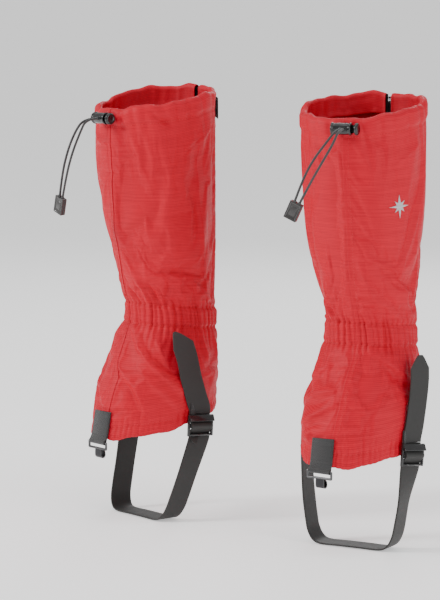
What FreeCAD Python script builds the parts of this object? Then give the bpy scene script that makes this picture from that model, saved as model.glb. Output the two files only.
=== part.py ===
import FreeCAD, Part
import math
import os
from FreeCAD import Matrix, Vector

# A pair of mountain gaiters standing as worn: +Z up, toes towards -Y, the wearer's left towards +X.
# All lengths are in millimetres and angles in degrees. Each gaiter is built about its own leg axis
# and then set in its place in the stance.

# Stance of the two legs
LEG_SPACING = 318.0
LEG_STAGGER = 20.0
TOE_OUT = 10.5
SHIN_LEAN = 7.0

# Sleeve: height on the leg axis, half width, half depth, and the slope of that cross-section
RIM = 538.0
HEM = 124.0
PROFILE = [
    (HEM, 68.0, 88.0, 0.19),
    (165.0, 68.0, 82.5, 0.10),
    (200.0, 65.0, 74.0, 0.01),
    (232.0, 60.0, 63.5, -0.07),
    (260.0, 55.5, 57.5, -0.10),
    (288.0, 58.0, 59.5, -0.09),
    (315.0, 61.5, 63.5, -0.06),
    (350.0, 66.5, 68.0, -0.01),
    (395.0, 71.0, 72.0, 0.04),
    (445.0, 74.0, 75.0, 0.09),
    (500.0, 75.5, 76.0, 0.15),
    (RIM, 76.0, 76.0, 0.18),
]
BACK = 76.0
CLOTH = 2.0
STEP = 13.0
ARC_STEP = 6.0
SEWN = 0.3

# Rear zip, its backing and its top closure
ZIP_GAP = 5.0
CHAIN_WIDE = 3.1
CHAIN_SPLIT = 0.6
CHAIN_THICK = 2.4
CHAIN_LOW = 141.0
CHAIN_HIGH = 541.0
TAPE_WIDE = 12.0
SLIDER_HEIGHT = 500.0
TAB_LOW = 499.0
TAB_HIGH = 524.0

# Drawcord, its lock and its end
CORD = 3.0
CORD_GAP = 3.3
CHANNEL = 24.0
LOCK_LEVEL = 526.0
LOCK_RADIUS = 7.0
LOCK_BORE = 5.0
PRESS = 4.0
LOCK_STAND_OFF = 1.2
CORD_RUN_OUT = 18.0
END_WIDE = 16.0
END_LONG = 22.0
END_THICK = 7.0

# Webbing, buckle and strap
WEBBING = 30.0
STRAP_THICK = 1.8
LOOP_THICK = 1.2
BAR = 1.7
BAR_PITCH = 12.0
BUCKLE_OUT = 7.6
BUCKLE_YAW = -15.0
TAIL_ROOT = 15.0
PATCH_OUT = 0.8
LOOP_HIGH = 24.0
RAIL = 3.0

# Front lace hook
HOOK_BAR = 1.5
HOOK_TAB_WIDE = 12.7
HOOK_TAB_TALL = 29.0
HOOK_TAB_OUT = 2.9
FOLD_HALF = 15.5
FOLD_OUT = 1.8
FOLD_DROP = 3.6
WIRE_HALF = 17.6
WIRE_DROP = 8.0
HOOK_HALF = 6.0
HOOK_DROP = 17.0
HOOK_REACH = 4.0

# What differs between the two gaiters. The drawcord strands' points are (sideways, outward, up)
# from the middle of the lock's eyelet, and the tail's are (outward, forward, up) from its root.
SIDES = {
    "left": {
        "sign": 1.0,
        "medial": -1.0,
        "seam": 169.0,
        "hook": 187.0,
        "buckle_y": -13.0,
        "arch_y": -19.0,
        "buckle_turn": -6.0,
        "strand_a": [
            (-1.65, 18.0, 0.0), (-1.65, 36.0, 0.0), (-10.5, 44.0, -14.0),
            (-26.0, 47.5, -35.0), (-39.0, 48.0, -60.0), (-48.5, 46.0, -84.0),
        ],
        "strand_b": [
            (1.65, 18.0, 0.0), (1.65, 35.0, 0.0), (-2.5, 43.5, -15.5),
            (-15.0, 48.0, -38.0), (-29.5, 48.5, -63.0), (-42.5, 46.0, -86.5),
        ],
        "tail": [(0.0, 0.0, 6.0), (0.3, -2.0, 20.0), (0.4, -4.0, 45.0), (0.4, -5.0, 72.0), (0.4, -3.4, 90.0)],
        "tail_tip": (0.0, -2.6, 106.0),
    },
    "right": {
        "sign": -1.0,
        "medial": 1.0,
        "seam": 180.0,
        "hook": 180.0,
        "buckle_y": 11.0,
        "arch_y": -21.0,
        "buckle_turn": -3.0,
        "strand_a": [
            (-1.65, 18.0, 0.0), (-1.65, 36.0, 0.0), (-6.5, 46.0, -15.0),
            (-16.5, 51.0, -40.0), (-27.0, 52.0, -70.0), (-35.0, 50.0, -98.0),
        ],
        "strand_b": [
            (1.65, 18.0, 0.0), (1.65, 35.0, 0.0), (1.5, 44.5, -16.5),
            (-6.0, 51.5, -42.0), (-17.0, 53.0, -72.0), (-29.0, 50.0, -99.5),
        ],
        "tail": [(0.0, 0.0, 6.0), (1.4, 6.5, 20.0), (3.4, 16.5, 45.0), (4.0, 24.0, 70.0), (4.0, 31.0, 88.0)],
        "tail_tip": (5.0, 40.0, 108.0),
    },
}


def profile_at(height):
    """Half width, half depth and slope at a height on the leg axis, on a smooth curve."""
    rows = PROFILE
    height = min(max(height, rows[0][0]), rows[-1][0])
    i = 0
    while i < len(rows) - 2 and height > rows[i + 1][0]:
        i += 1
    low, high = rows[i], rows[i + 1]
    before = rows[max(i - 1, 0)]
    after = rows[min(i + 2, len(rows) - 1)]
    span = high[0] - low[0]
    t = (height - low[0]) / span
    values = []
    for k in (1, 2, 3):
        rise_low = (high[k] - before[k]) / (high[0] - before[0]) * span
        rise_high = (after[k] - low[k]) / (after[0] - low[0]) * span
        start = (2 * t**3 - 3 * t**2 + 1) * low[k] + (t**3 - 2 * t**2 + t) * rise_low
        end = (3 * t**2 - 2 * t**3) * high[k] + (t**3 - t**2) * rise_high
        values.append(start + end)
    return values


def back_at(height):
    """How far behind the leg axis the straight back line runs at this height."""
    return BACK + SHIN_LEAN * (RIM - height) / (RIM - HEM)


def skin_point(height, angle, out):
    """A point on the sleeve: angle 0 is the back, 90 is +X, 180 the front; out is from its face."""
    wide, deep, slope = profile_at(height)
    turn = math.radians(angle)
    x = (wide + out) * math.sin(turn)
    y = back_at(height) - deep + (deep + out) * math.cos(turn)
    return Vector(x, y, height + slope * y)


def angle_of(x, height):
    """The angle at which the back of the sleeve is x away from its middle line."""
    return math.degrees(math.asin(x / profile_at(height)[0]))


def arc_edge(points):
    """A smooth edge through points, with evenly spaced knots so that neighbours match."""
    curve = Part.BSplineCurve()
    curve.interpolate(Points=points, Parameters=[float(i) for i in range(len(points))])
    return curve.toShape()


def slab(low, high, first, last, inner, outer):
    """A curved sheet between two heights, two angles (numbers or functions of height) and two offsets."""
    count = max(2, math.ceil((high - low) / STEP) + 1)
    wires = []
    for i in range(count):
        height = low + (high - low) * i / (count - 1)
        start = first(height) if callable(first) else first
        end = last(height) if callable(last) else last
        spans = max(3, math.ceil(abs(end - start) / ARC_STEP))
        angles = [start + (end - start) * k / spans for k in range(spans + 1)]
        face = [skin_point(height, a, outer) for a in angles]
        lining = [skin_point(height, a, inner) for a in reversed(angles)]
        edges = [
            arc_edge(face),
            Part.LineSegment(face[-1], lining[0]).toShape(),
            arc_edge(lining),
            Part.LineSegment(lining[-1], face[0]).toShape(),
        ]
        wires.append(Part.Wire(edges))
    solid = Part.makeLoft(wires, True, count == 2)
    return outward(solid)


def outward(shape):
    """The same solid, with its faces pointing outwards."""
    if shape.Volume < 0:
        shape.reverse()
    return shape


def frame_at(height, angle, upright):
    """Axes on the sleeve's face: X along it, -Y out of it, Z up; upright keeps Z vertical."""
    here = skin_point(height, angle, 0.0)
    along = skin_point(height, angle - 0.5, 0.0) - skin_point(height, angle + 0.5, 0.0)
    up = skin_point(height + 2.0, angle, 0.0) - skin_point(height - 2.0, angle, 0.0)
    along.z = 0.0
    along.normalize()
    if upright:
        up = Vector(0, 0, 1)
    inward = up.cross(along)
    inward.normalize()
    up = along.cross(inward)
    return Matrix(
        along.x, inward.x, up.x, here.x,
        along.y, inward.y, up.y, here.y,
        along.z, inward.z, up.z, here.z,
        0, 0, 0, 1,
    )


def set_in(shape, matrix):
    """A copy of a shape moved by a rigid matrix."""
    moved = shape.copy()
    moved.Placement = FreeCAD.Placement(matrix).multiply(moved.Placement)
    return moved


def box(x0, x1, y0, y1, z0, z1):
    """A box from its lowest to its highest corner."""
    return Part.makeBox(x1 - x0, y1 - y0, z1 - z0, Vector(x0, y0, z0))


def rod(start, end, radius):
    """A round rod between two points."""
    start, end = Vector(start), Vector(end)
    return Part.makeCylinder(radius, (end - start).Length, start, end - start)


def ribbon(path, widths, thickness, sides):
    """A flat strip along a path, its width at each point near the side given for it."""
    wires = []
    for i, here in enumerate(path):
        ahead = path[min(i + 1, len(path) - 1)] - path[max(i - 1, 0)]
        ahead.normalize()
        across = sides[i] - ahead * sides[i].dot(ahead)
        across.normalize()
        normal = ahead.cross(across)
        half_wide = across * (widths[i] / 2)
        half_thick = normal * (thickness / 2)
        corners = [
            here - half_wide - half_thick,
            here + half_wide - half_thick,
            here + half_wide + half_thick,
            here - half_wide + half_thick,
        ]
        wires.append(Part.makePolygon(corners + corners[:1]))
    return outward(Part.makeLoft(wires, True, True))


def tube(points, diameter, name):
    """A round cord along straight runs joined by tangent arcs, each as large as its runs allow."""
    edges = []
    start = points[0]
    radii = []
    for i in range(1, len(points) - 1):
        before = points[i - 1] - points[i]
        after = points[i + 1] - points[i]
        reach = 0.45 * min(before.Length, after.Length)
        half_turn = (math.pi - before.getAngle(after)) / 2
        radius = reach / math.tan(half_turn)
        radii.append(radius)
        before.normalize()
        after.normalize()
        enter = points[i] + before * reach
        leave = points[i] + after * reach
        inward = before + after
        inward.normalize()
        centre = points[i] + inward * (radius / math.cos(half_turn))
        middle = centre - inward * radius
        edges.append(Part.LineSegment(start, enter).toShape())
        edges.append(Part.Arc(enter, middle, leave).toShape())
        start = leave
    edges.append(Part.LineSegment(start, points[-1]).toShape())
    length = sum(edge.Length for edge in edges)
    heading = points[1] - points[0]
    circle = Part.Circle(points[0], heading, diameter / 2).toShape()
    solid = Part.Wire(edges).makePipeShell([Part.Wire([circle])], True, False)
    solid = outward(solid)
    section = math.pi * diameter**2 / 4
    share = solid.Volume / (section * length)
    print(name, "length %.1f" % length, "volume share %.4f" % share, "radii", [round(r, 1) for r in radii])
    return solid


def sleeve_panels(side):
    """The two cloth halves, joined at the front seam and open along the back for the zip."""
    def near(height):
        return angle_of(ZIP_GAP, height)

    def far(height):
        return 360.0 - angle_of(ZIP_GAP, height)

    plus = slab(HEM, RIM, near, side["seam"], -CLOTH, 0.0)
    minus = slab(HEM, RIM, side["seam"], far, -CLOTH, 0.0)
    opening = set_in(box(-3.9, 3.9, -4.0, 6.0, -2.0, 2.0), frame_at(LOCK_LEVEL, side["seam"], True))
    return plus.cut(opening), minus.cut(opening)


def draft_flap():
    """A cloth strip behind the zip that keeps snow out of it."""
    return slab(HEM + 20.0, TAB_LOW, -13.0, 13.0, -6.4, -5.4)


def rim_facing():
    """The turned-in rim that makes the drawcord's channel."""
    whole = slab(RIM - CHANNEL, RIM - 0.5, 14.0, 346.0, -8.5, -CLOTH - SEWN)
    hollow = slab(RIM - CHANNEL + 1.2, RIM - 1.7, 13.0, 347.0, -7.7, -CLOTH + 0.5)
    return whole.cut(hollow)


def drawcord(side):
    """The elastic cord in the rim's channel, and its two straight ends out through the lock."""
    slope = math.degrees(math.atan(profile_at(LOCK_LEVEL)[2]))
    centre = Vector(0, back_at(LOCK_LEVEL) - profile_at(LOCK_LEVEL)[1], 0)
    centre.z = LOCK_LEVEL + profile_at(LOCK_LEVEL)[2] * centre.y
    radius = profile_at(LOCK_LEVEL)[0] - CLOTH - 2.9
    pieces = []
    for first, last in ((15.0, side["seam"] - 5.0), (side["seam"] + 5.0, 345.0)):
        ring = Part.makeTorus(radius, CORD / 2, Vector(), Vector(0, 0, 1), -180, 180, last - first)
        ring.rotate(Vector(), Vector(0, 0, 1), 90.0 - last)
        ring.rotate(Vector(), Vector(1, 0, 0), slope)
        ring.translate(centre)
        pieces.append(ring)
    where = frame_at(LOCK_LEVEL, side["seam"], True)
    for x in (-CORD_GAP / 2, CORD_GAP / 2):
        straight = rod((x, CLOTH, 0), (x, -CORD_RUN_OUT, 0), CORD / 2)
        pieces.append(set_in(straight, where))
    return Part.makeCompound(pieces)


def elastic_band(low, high):
    """A woven elastic sewn inside the cloth, which gathers it."""
    def near(height):
        return angle_of(CHAIN_WIDE + TAPE_WIDE + 1.0, height)

    def far(height):
        return 360.0 - near(height)

    return slab(low, high, near, far, -CLOTH - 1.2, -CLOTH - SEWN)


def on_back(shape):
    """Places a shape drawn against a vertical back line (Y out of the cloth) on the leaning one."""
    lean = math.degrees(math.atan(SHIN_LEAN / (RIM - HEM)))
    moved = shape.copy()
    moved.translate(Vector(0, BACK, 0))
    moved.rotate(Vector(0, BACK, RIM), Vector(1, 0, 0), lean)
    return moved


def zip_tapes():
    """The zip's two woven tapes, sewn under the panels' back edges."""
    def inner_edge(height):
        return angle_of(CHAIN_WIDE + 0.4, height)

    def outer_edge(height):
        return angle_of(CHAIN_WIDE + TAPE_WIDE, height)

    plus = slab(HEM + 4.0, RIM - 4.0, inner_edge, outer_edge, -CLOTH - 0.8, -CLOTH - SEWN)
    minus = slab(
        HEM + 4.0, RIM - 4.0,
        lambda height: -outer_edge(height), lambda height: -inner_edge(height),
        -CLOTH - 0.8, -CLOTH - SEWN,
    )
    return Part.makeCompound([plus, minus])


def zip_chain():
    """The two rows of coil teeth, each as a plain bar."""
    front = -0.5
    rows = [
        box(CHAIN_SPLIT, CHAIN_WIDE, front - CHAIN_THICK, front, CHAIN_LOW, CHAIN_HIGH),
        box(-CHAIN_WIDE, -CHAIN_SPLIT, front - CHAIN_THICK, front, CHAIN_LOW, CHAIN_HIGH),
    ]
    return on_back(Part.makeCompound(rows))


def zip_stops():
    """The box at the zip's foot and the two clamps at its top."""
    foot = box(-4.2, 4.2, -1.9, 0.3, CHAIN_LOW - 5.0, CHAIN_LOW)
    tops = [
        box(CHAIN_SPLIT, CHAIN_WIDE + 0.6, -1.9, 0.0, CHAIN_HIGH, CHAIN_HIGH + 3.0),
        box(-CHAIN_WIDE - 0.6, -CHAIN_SPLIT, -1.9, 0.0, CHAIN_HIGH, CHAIN_HIGH + 3.0),
    ]
    return on_back(Part.makeCompound([foot] + tops))


def zip_slider():
    """Two plates joined by a thin wedge between the rows of teeth, with ears for the puller."""
    z = SLIDER_HEIGHT
    front = box(-4.3, 4.3, -0.2, 1.0, z - 8.0, z + 8.0)
    rear = box(-4.3, 4.3, -4.3, -3.2, z - 8.0, z + 8.0)
    wedge = box(-0.3, 0.3, -3.3, -0.1, z + 1.0, z + 7.0)
    body = front.fuse([rear, wedge])
    for x in (-3.6, 2.6):
        ear = box(x, x + 1.0, 0.5, 4.6, z + 1.0, z + 5.0)
        body = body.fuse(ear)
    body = body.fuse(rod((-3.5, 3.3, z + 3.0), (3.5, 3.3, z + 3.0), 1.0))
    return on_back(body.removeSplitter())


def zip_puller():
    """The tongue that hangs from the slider's pin, with a moulded grip at its end."""
    z = SLIDER_HEIGHT + 3.0
    eye = rod((-2.3, 3.3, z), (2.3, 3.3, z), 2.0)
    neck = box(-2.3, 2.3, 2.5, 4.1, z - 12.0, z - 0.5)
    grip = box(-4.5, 4.5, 2.1, 4.5, z - 40.0, z - 11.0)
    bore = rod((-3.0, 3.3, z), (3.0, 3.3, z), 1.08)
    return on_back(eye.fuse([neck, grip]).removeSplitter().cut(bore))


def closure_tab(side):
    """A webbing tab sewn beside the zip's top end, which closes across it."""
    medial = side["medial"]
    first, last = sorted((-medial * 15.0, medial * 43.0))
    return slab(TAB_LOW, TAB_HIGH, first, last, 2.2, 3.6)


def tab_patches(side):
    """The loop patch on the cloth and the hook patch under the tab."""
    medial = side["medial"]
    first, last = sorted((medial * 12.0, medial * 36.0))
    loops = slab(TAB_LOW + 2.0, TAB_HIGH - 2.0, first, last, SEWN, 1.0)
    hooks = slab(TAB_LOW + 2.0, TAB_HIGH - 2.0, first, last, 1.4, 2.15)
    return loops, hooks


def cord_eyelet(side):
    """The moulded grommet where both ends of the drawcord leave the rim."""
    plate = rod((0, 0.2, 0), (0, -0.8, 0), 7.0)
    hole = box(-3.5, 3.5, -2.0, 2.0, -1.7, 1.7)
    seated = set_in(plate.cut(hole), frame_at(LOCK_LEVEL, side["seam"], True))
    sleeve = slab(LOCK_LEVEL - 14.0, LOCK_LEVEL + 11.5, side["seam"] - 15, side["seam"] + 15, -1.5, 0.05)
    return seated.cut(sleeve)


def cord_lock(side):
    """Barrel lock: a body, a sprung plunger and the spring. Its plunger slides along the barrel."""
    where = frame_at(LOCK_LEVEL, side["seam"], True)
    y = -LOCK_STAND_OFF - LOCK_RADIUS - 0.6
    body = rod((-15.0, y, 0), (10.0, y, 0), LOCK_RADIUS)
    body = body.fuse(rod((-15.5, y, 0), (-12.5, y, 0), LOCK_RADIUS + 0.6))
    body = body.fuse(rod((7.5, y, 0), (10.0, y, 0), LOCK_RADIUS + 0.6))
    body = body.cut(rod((-13.0, y, 0), (11.0, y, 0), LOCK_BORE))
    body = body.cut(box(-7.3, 3.3, y - 9.0, y + 9.0, -1.8, 1.8))
    shaft = rod((-7.5, y, 0), (15.0, y, 0), LOCK_BORE - 0.06)
    head = rod((10.3 + PRESS, y, 0), (19.0, y, 0), LOCK_RADIUS + 0.2)
    slot = box(-3.3, 3.3 + PRESS, y - 9.0, y + 9.0, -1.8, 1.8)
    plunger = shaft.fuse(head).cut(slot)
    spring = rod((-13.0, y, 0), (-7.5, y, 0), 4.2).cut(rod((-13.0, y, 0), (-7.5, y, 0), 3.2))
    return [set_in(piece, where) for piece in (body, plunger, spring)]


def strand(side, key):
    """One free end of the drawcord, from the lock down to the cord end."""
    where = frame_at(LOCK_LEVEL, side["seam"], True)
    points = [where.multiply(Vector(x, -out, z)) for x, out, z in side[key]]
    return tube(points, CORD, key)


def cord_end(side):
    """The two-part clamp that holds both strands' ends, its long side along them."""
    where = frame_at(LOCK_LEVEL, side["seam"], True)
    ends = [side[key] for key in ("strand_a", "strand_b")]
    last = [where.multiply(Vector(x, -out, z)) for x, out, z in (route[-1] for route in ends)]
    previous = [where.multiply(Vector(x, -out, z)) for x, out, z in (route[-2] for route in ends)]
    down = (last[0] + last[1]) - (previous[0] + previous[1])
    down.normalize()
    across = last[1] - last[0]
    across = across - down * across.dot(down)
    across.normalize()
    out = across.cross(down)
    top = (last[0] + last[1]) * 0.5
    deepest = max(point.sub(top).dot(down) for point in last)
    origin = top + down * deepest
    matrix = Matrix(
        across.x, out.x, -down.x, origin.x,
        across.y, out.y, -down.y, origin.y,
        across.z, out.z, -down.z, origin.z,
        0, 0, 0, 1,
    )
    shells = []
    for y in (-END_THICK / 2, 0.0):
        shell = box(-END_WIDE / 2, END_WIDE / 2, y, y + END_THICK / 2, -END_LONG, 0.0)
        recess_y = (-END_THICK / 2, -END_THICK / 2 + 0.8) if y < 0 else (END_THICK / 2 - 0.8, END_THICK / 2)
        recess = box(-END_WIDE / 2 + 2.5, END_WIDE / 2 - 2.5, recess_y[0], recess_y[1], -END_LONG + 3.0, -3.0)
        shells.append(set_in(shell.cut(recess), matrix))
    return Part.makeCompound(shells)


def hook_tab(side):
    """Webbing folded round the lace hook's bar and sewn on the front of the hem."""
    angle = side["hook"]
    first = angle - HOOK_TAB_WIDE
    last = angle + HOOK_TAB_WIDE
    folded = slab(HEM - 2.5, HEM + HOOK_TAB_TALL, first, last, PATCH_OUT, HOOK_TAB_OUT)
    fold = rod((-FOLD_HALF, -FOLD_OUT, -FOLD_DROP), (FOLD_HALF, -FOLD_OUT, -FOLD_DROP), HOOK_BAR + LOOP_THICK)
    bore = rod((-20.0, -FOLD_OUT, -FOLD_DROP), (20.0, -FOLD_OUT, -FOLD_DROP), HOOK_BAR + 0.08)
    where = frame_at(HEM, angle, False)
    return folded.fuse(set_in(fold, where)).cut(set_in(bore, where))


def lace_hook(side):
    """A wire frame through the webbing's fold, with a flat hook for the bootlace."""
    where = frame_at(HEM, side["hook"], False)
    origin = where.multiply(Vector(0, -FOLD_OUT, -FOLD_DROP))
    level = frame_at(HEM, side["hook"], True)
    along = Vector(level.A11, level.A21, level.A31)
    inward = Vector(level.A12, level.A22, level.A32)
    matrix = Matrix(
        along.x, inward.x, 0, origin.x,
        along.y, inward.y, 0, origin.y,
        along.z, inward.z, 1, origin.z,
        0, 0, 0, 1,
    )
    r = HOOK_BAR
    wire = rod((-WIRE_HALF, 0, 0), (WIRE_HALF, 0, 0), r)
    for x in (-WIRE_HALF, WIRE_HALF):
        wire = wire.fuse(rod((x, 0, 0), (x, 0, -WIRE_DROP), r))
        wire = wire.fuse(Part.makeSphere(r, Vector(x, 0, 0)))
        wire = wire.fuse(Part.makeSphere(r, Vector(x, 0, -WIRE_DROP)))
    wire = wire.fuse(rod((-WIRE_HALF, 0, -WIRE_DROP), (WIRE_HALF, 0, -WIRE_DROP), r))
    half = HOOK_HALF
    turn = HOOK_REACH
    shank = box(-half, half, -0.8, 0.8, -HOOK_DROP, 1.0 - WIRE_DROP)
    bend = rod((-half, turn, -HOOK_DROP), (half, turn, -HOOK_DROP), turn + 0.8)
    bend = bend.cut(rod((-half - 1, turn, -HOOK_DROP), (half + 1, turn, -HOOK_DROP), turn - 0.8))
    bend = bend.cut(box(-half - 1, half + 1, -1.0, 2 * turn + 1, -HOOK_DROP, 6.0 - HOOK_DROP))
    point = box(-half, half, 2 * turn - 0.8, 2 * turn + 0.8, -HOOK_DROP, 6.5 - HOOK_DROP)
    return set_in(wire.fuse([shank, bend, point]).removeSplitter(), matrix)


def buckle_angle(side):
    """The angle on the hem at which the buckle hangs."""
    deep = profile_at(HEM)[1]
    return math.degrees(math.acos((side["buckle_y"] - back_at(HEM) + deep) / deep))


def buckle_frame_matrix(side):
    """The buckle's axes: X out of the cloth, Y along its bars, Z up, at its middle bar."""
    face = frame_at(HEM, buckle_angle(side), True)
    out = Vector(-face.A12, -face.A22, -face.A32)
    turn = Matrix()
    turn.rotateX(math.radians(side["buckle_turn"]))
    turn.rotateZ(math.atan2(out.y, out.x) + math.radians(BUCKLE_YAW))
    here = face.multiply(Vector(0, -BUCKLE_OUT, -4.0))
    turn.move(here)
    return turn


def buckle(side):
    """Three bars between two rails, the top bar heavier."""
    half = WEBBING / 2 + RAIL + 0.6
    rails = []
    for y in (-half, half - RAIL):
        rails.append(box(-BAR, BAR, y, y + RAIL, -BAR_PITCH - BAR, BAR_PITCH + BAR))
    frame = rails[0].fuse(rails[1])
    for z, r in ((-BAR_PITCH, BAR), (0.0, BAR - 0.1), (BAR_PITCH, BAR + 0.1)):
        frame = frame.fuse(rod((0, -half, z), (0, half, z), r))
    return set_in(frame.removeSplitter(), buckle_frame_matrix(side))


def buckle_loop(side):
    """Webbing sewn on the hem and folded round the buckle's middle bar."""
    where = buckle_frame_matrix(side)
    half = WEBBING / 2
    back = -BUCKLE_OUT + 0.1
    fold = rod((0, -half, 0), (0, half, 0), BAR + LOOP_THICK).cut(rod((0, -20, 0), (0, 20, 0), BAR - 0.1))
    run = box(back, back + LOOP_THICK, -half, half, 2.0, LOOP_HIGH)
    path = [Vector(back + 0.6, 0, 3.0), Vector(back + 1.4, 0, 0.2), Vector(-2.3, 0, -0.6)]
    link = ribbon(path, [WEBBING] * 3, LOOP_THICK, [Vector(0, 1, 0)] * 3)
    whole = set_in(fold.fuse([link]).fuse(run), where)
    cloth = slab(HEM, HEM + 40.0, buckle_angle(side) - 30.0, buckle_angle(side) + 30.0, -6.0, PATCH_OUT)
    return whole.cut(cloth)


def instep_strap(side):
    """The strap: sewn on at -X, down under the boot's arch, up and through the buckle."""
    where = buckle_frame_matrix(side)
    threaded = [
        (-2.95, TAIL_ROOT), (-2.95, 11.0), (0.6, 6.0), (4.3, 1.6), (4.3, -1.6), (0.6, -6.0),
        (-2.95, -11.5), (-3.1, -18.0),
    ]
    path = [where.multiply(Vector(x, 0, z)) for x, z in threaded]
    sides = [Vector(where.A12, where.A22, where.A32)] * len(path)
    top = path[-1]
    arch = side["arch_y"]
    down = [(65.5, 62.0), (60.5, 30.0), (57.0, 15.5), (50.5, 5.2), (40.0, 0.9), (13.0, 0.9)]

    def lean(z):
        return arch + (top.y - arch) * (z / top.z)

    under = [Vector(x, lean(z), z) for x, z in down]
    under += [Vector(-x, lean(z), z) for x, z in reversed(down)]
    path += under
    sides += [Vector(0, 1, 0)] * len(under)
    for height in (HEM - 8.0, HEM + 1.0, HEM + 24.0):
        face = frame_at(max(height, HEM), 360.0 - buckle_angle(side), True)
        path.append(face.multiply(Vector(0, -2.5, min(height - HEM, 0.0))))
        sides.append(Vector(-face.A11, -face.A21, -face.A31))
    return ribbon(path, [WEBBING] * len(path), STRAP_THICK, sides)


def strap_tail(side):
    """The free end of the strap above the buckle, cut to a slanted point."""
    where = buckle_frame_matrix(side)
    root = Vector(-2.95, 0, TAIL_ROOT + 0.4)
    offsets = [(0, 0, 0)] + side["tail"] + [side["tail_tip"]]
    path = [where.multiply(root + Vector(out, -forward, up)) for out, forward, up in offsets]
    widths = [WEBBING] * (len(path) - 1) + [4.0]
    return ribbon(path, widths, STRAP_THICK, [Vector(where.A12, where.A22, where.A32)] * len(path))


def strap_anchor(side):
    """The webbing patch on the -X side of the hem that the strap is sewn to."""
    angle = 360.0 - buckle_angle(side)
    return slab(HEM + 1.0, HEM + 25.0, angle - 9.0, angle + 9.0, PATCH_OUT, 1.5)


def emblem(side):
    """A small embroidered roundel on the outer side."""
    angle = 180.0 - side["sign"] * 61.0
    where = frame_at(422.0, angle, False)
    sheet = slab(400.0, 444.0, angle - 14.0, angle + 14.0, SEWN, 0.8)
    return sheet.common(set_in(rod((0, 8, 0), (0, -8, 0), 15.0), where))


def gaiter(name):
    """Every piece of one gaiter about its own leg axis."""
    side = SIDES[name]
    plus, minus = sleeve_panels(side)
    outer, inner = (plus, minus) if name == "left" else (minus, plus)
    lock_body, lock_plunger, lock_spring = cord_lock(side)
    loops, hooks = tab_patches(side)
    return {
        "outer_panel": outer,
        "inner_panel": inner,
        "draft_flap": draft_flap(),
        "rim_facing": rim_facing(),
        "drawcord": drawcord(side),
        "ankle_elastic": elastic_band(247.0, 273.0),
        "hem_elastic": elastic_band(HEM + 2.0, HEM + 14.0),
        "zip_tapes": zip_tapes(),
        "zip_chain": zip_chain(),
        "zip_stops": zip_stops(),
        "zip_slider": zip_slider(),
        "zip_puller": zip_puller(),
        "closure_tab": closure_tab(side),
        "tab_loop_patch": loops,
        "tab_hook_patch": hooks,
        "cord_eyelet": cord_eyelet(side),
        "cord_lock_body": lock_body,
        "cord_lock_plunger": lock_plunger,
        "cord_lock_spring": lock_spring,
        "cord_strand_a": strand(side, "strand_a"),
        "cord_strand_b": strand(side, "strand_b"),
        "cord_end": cord_end(side),
        "hook_tab": hook_tab(side),
        "lace_hook": lace_hook(side),
        "buckle_frame": buckle(side),
        "buckle_loop": buckle_loop(side),
        "instep_strap": instep_strap(side),
        "strap_tail": strap_tail(side),
        "strap_anchor": strap_anchor(side),
        "emblem": emblem(side),
    }


def stand(shape, name):
    """Sets a gaiter's piece in its place in the stance."""
    sign = SIDES[name]["sign"]
    moved = shape.copy()
    moved.rotate(Vector(), Vector(0, 0, 1), sign * TOE_OUT)
    moved.translate(Vector(sign * LEG_SPACING / 2, sign * LEG_STAGGER / 2, 0))
    return moved


os.makedirs("parts", exist_ok=True)
for name in SIDES:
    for node, shape in gaiter(name).items():
        placed = stand(shape, name)
        placed.exportStep("parts/%s_%s.step" % (name, node))
        sound = "ok" if placed.isValid() and placed.Volume > 0 else "BAD"
        print(name, node, sound, "solids", len(placed.Solids), "volume %.0f" % placed.Volume)
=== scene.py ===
import math
import random

import bmesh
import bpy
import numpy as np
from mathutils import Matrix, Vector
from mathutils.bvhtree import BVHTree


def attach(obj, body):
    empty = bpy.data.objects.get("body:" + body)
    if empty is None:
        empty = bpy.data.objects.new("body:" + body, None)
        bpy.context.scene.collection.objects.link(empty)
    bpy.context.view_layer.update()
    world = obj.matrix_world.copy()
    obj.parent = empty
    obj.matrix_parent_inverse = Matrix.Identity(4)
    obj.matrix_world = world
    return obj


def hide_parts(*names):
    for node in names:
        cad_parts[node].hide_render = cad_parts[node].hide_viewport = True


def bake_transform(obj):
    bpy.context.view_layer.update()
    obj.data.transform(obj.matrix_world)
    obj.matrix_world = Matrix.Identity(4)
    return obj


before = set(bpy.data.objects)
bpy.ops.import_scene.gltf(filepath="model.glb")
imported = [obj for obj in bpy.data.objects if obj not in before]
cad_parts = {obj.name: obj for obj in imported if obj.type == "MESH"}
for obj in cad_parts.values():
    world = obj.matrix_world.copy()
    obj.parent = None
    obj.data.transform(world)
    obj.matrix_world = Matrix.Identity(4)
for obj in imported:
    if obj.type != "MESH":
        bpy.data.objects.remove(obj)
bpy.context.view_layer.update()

# ---- Camera, lights and floor ---------------------------------------------------------------
# A pair of gaiters stands as worn on a pale studio floor that runs out of sight, with one
# large soft light from the front left, a long one from the right, and light all round.
VIEW_AZIMUTH = math.radians(39.71)
VIEW_RISE = math.radians(7.13)
VIEW_DISTANCE = 3.532
VIEW_AIM = Vector((0, 0, 0.2883))

away = Vector((
    math.cos(VIEW_RISE) * math.sin(VIEW_AZIMUTH),
    -math.cos(VIEW_RISE) * math.cos(VIEW_AZIMUTH),
    math.sin(VIEW_RISE),
))
camera = bpy.data.objects.new("camera", bpy.data.cameras.new("camera"))
camera.location = VIEW_AIM + away * VIEW_DISTANCE
camera.rotation_euler = away.to_track_quat("Z", "Y").to_euler()
camera.data.sensor_width = 36.0
camera.data.lens = 169.6
camera.data.shift_x = -0.0613
bpy.context.collection.objects.link(camera)
bpy.context.scene.camera = camera


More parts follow.
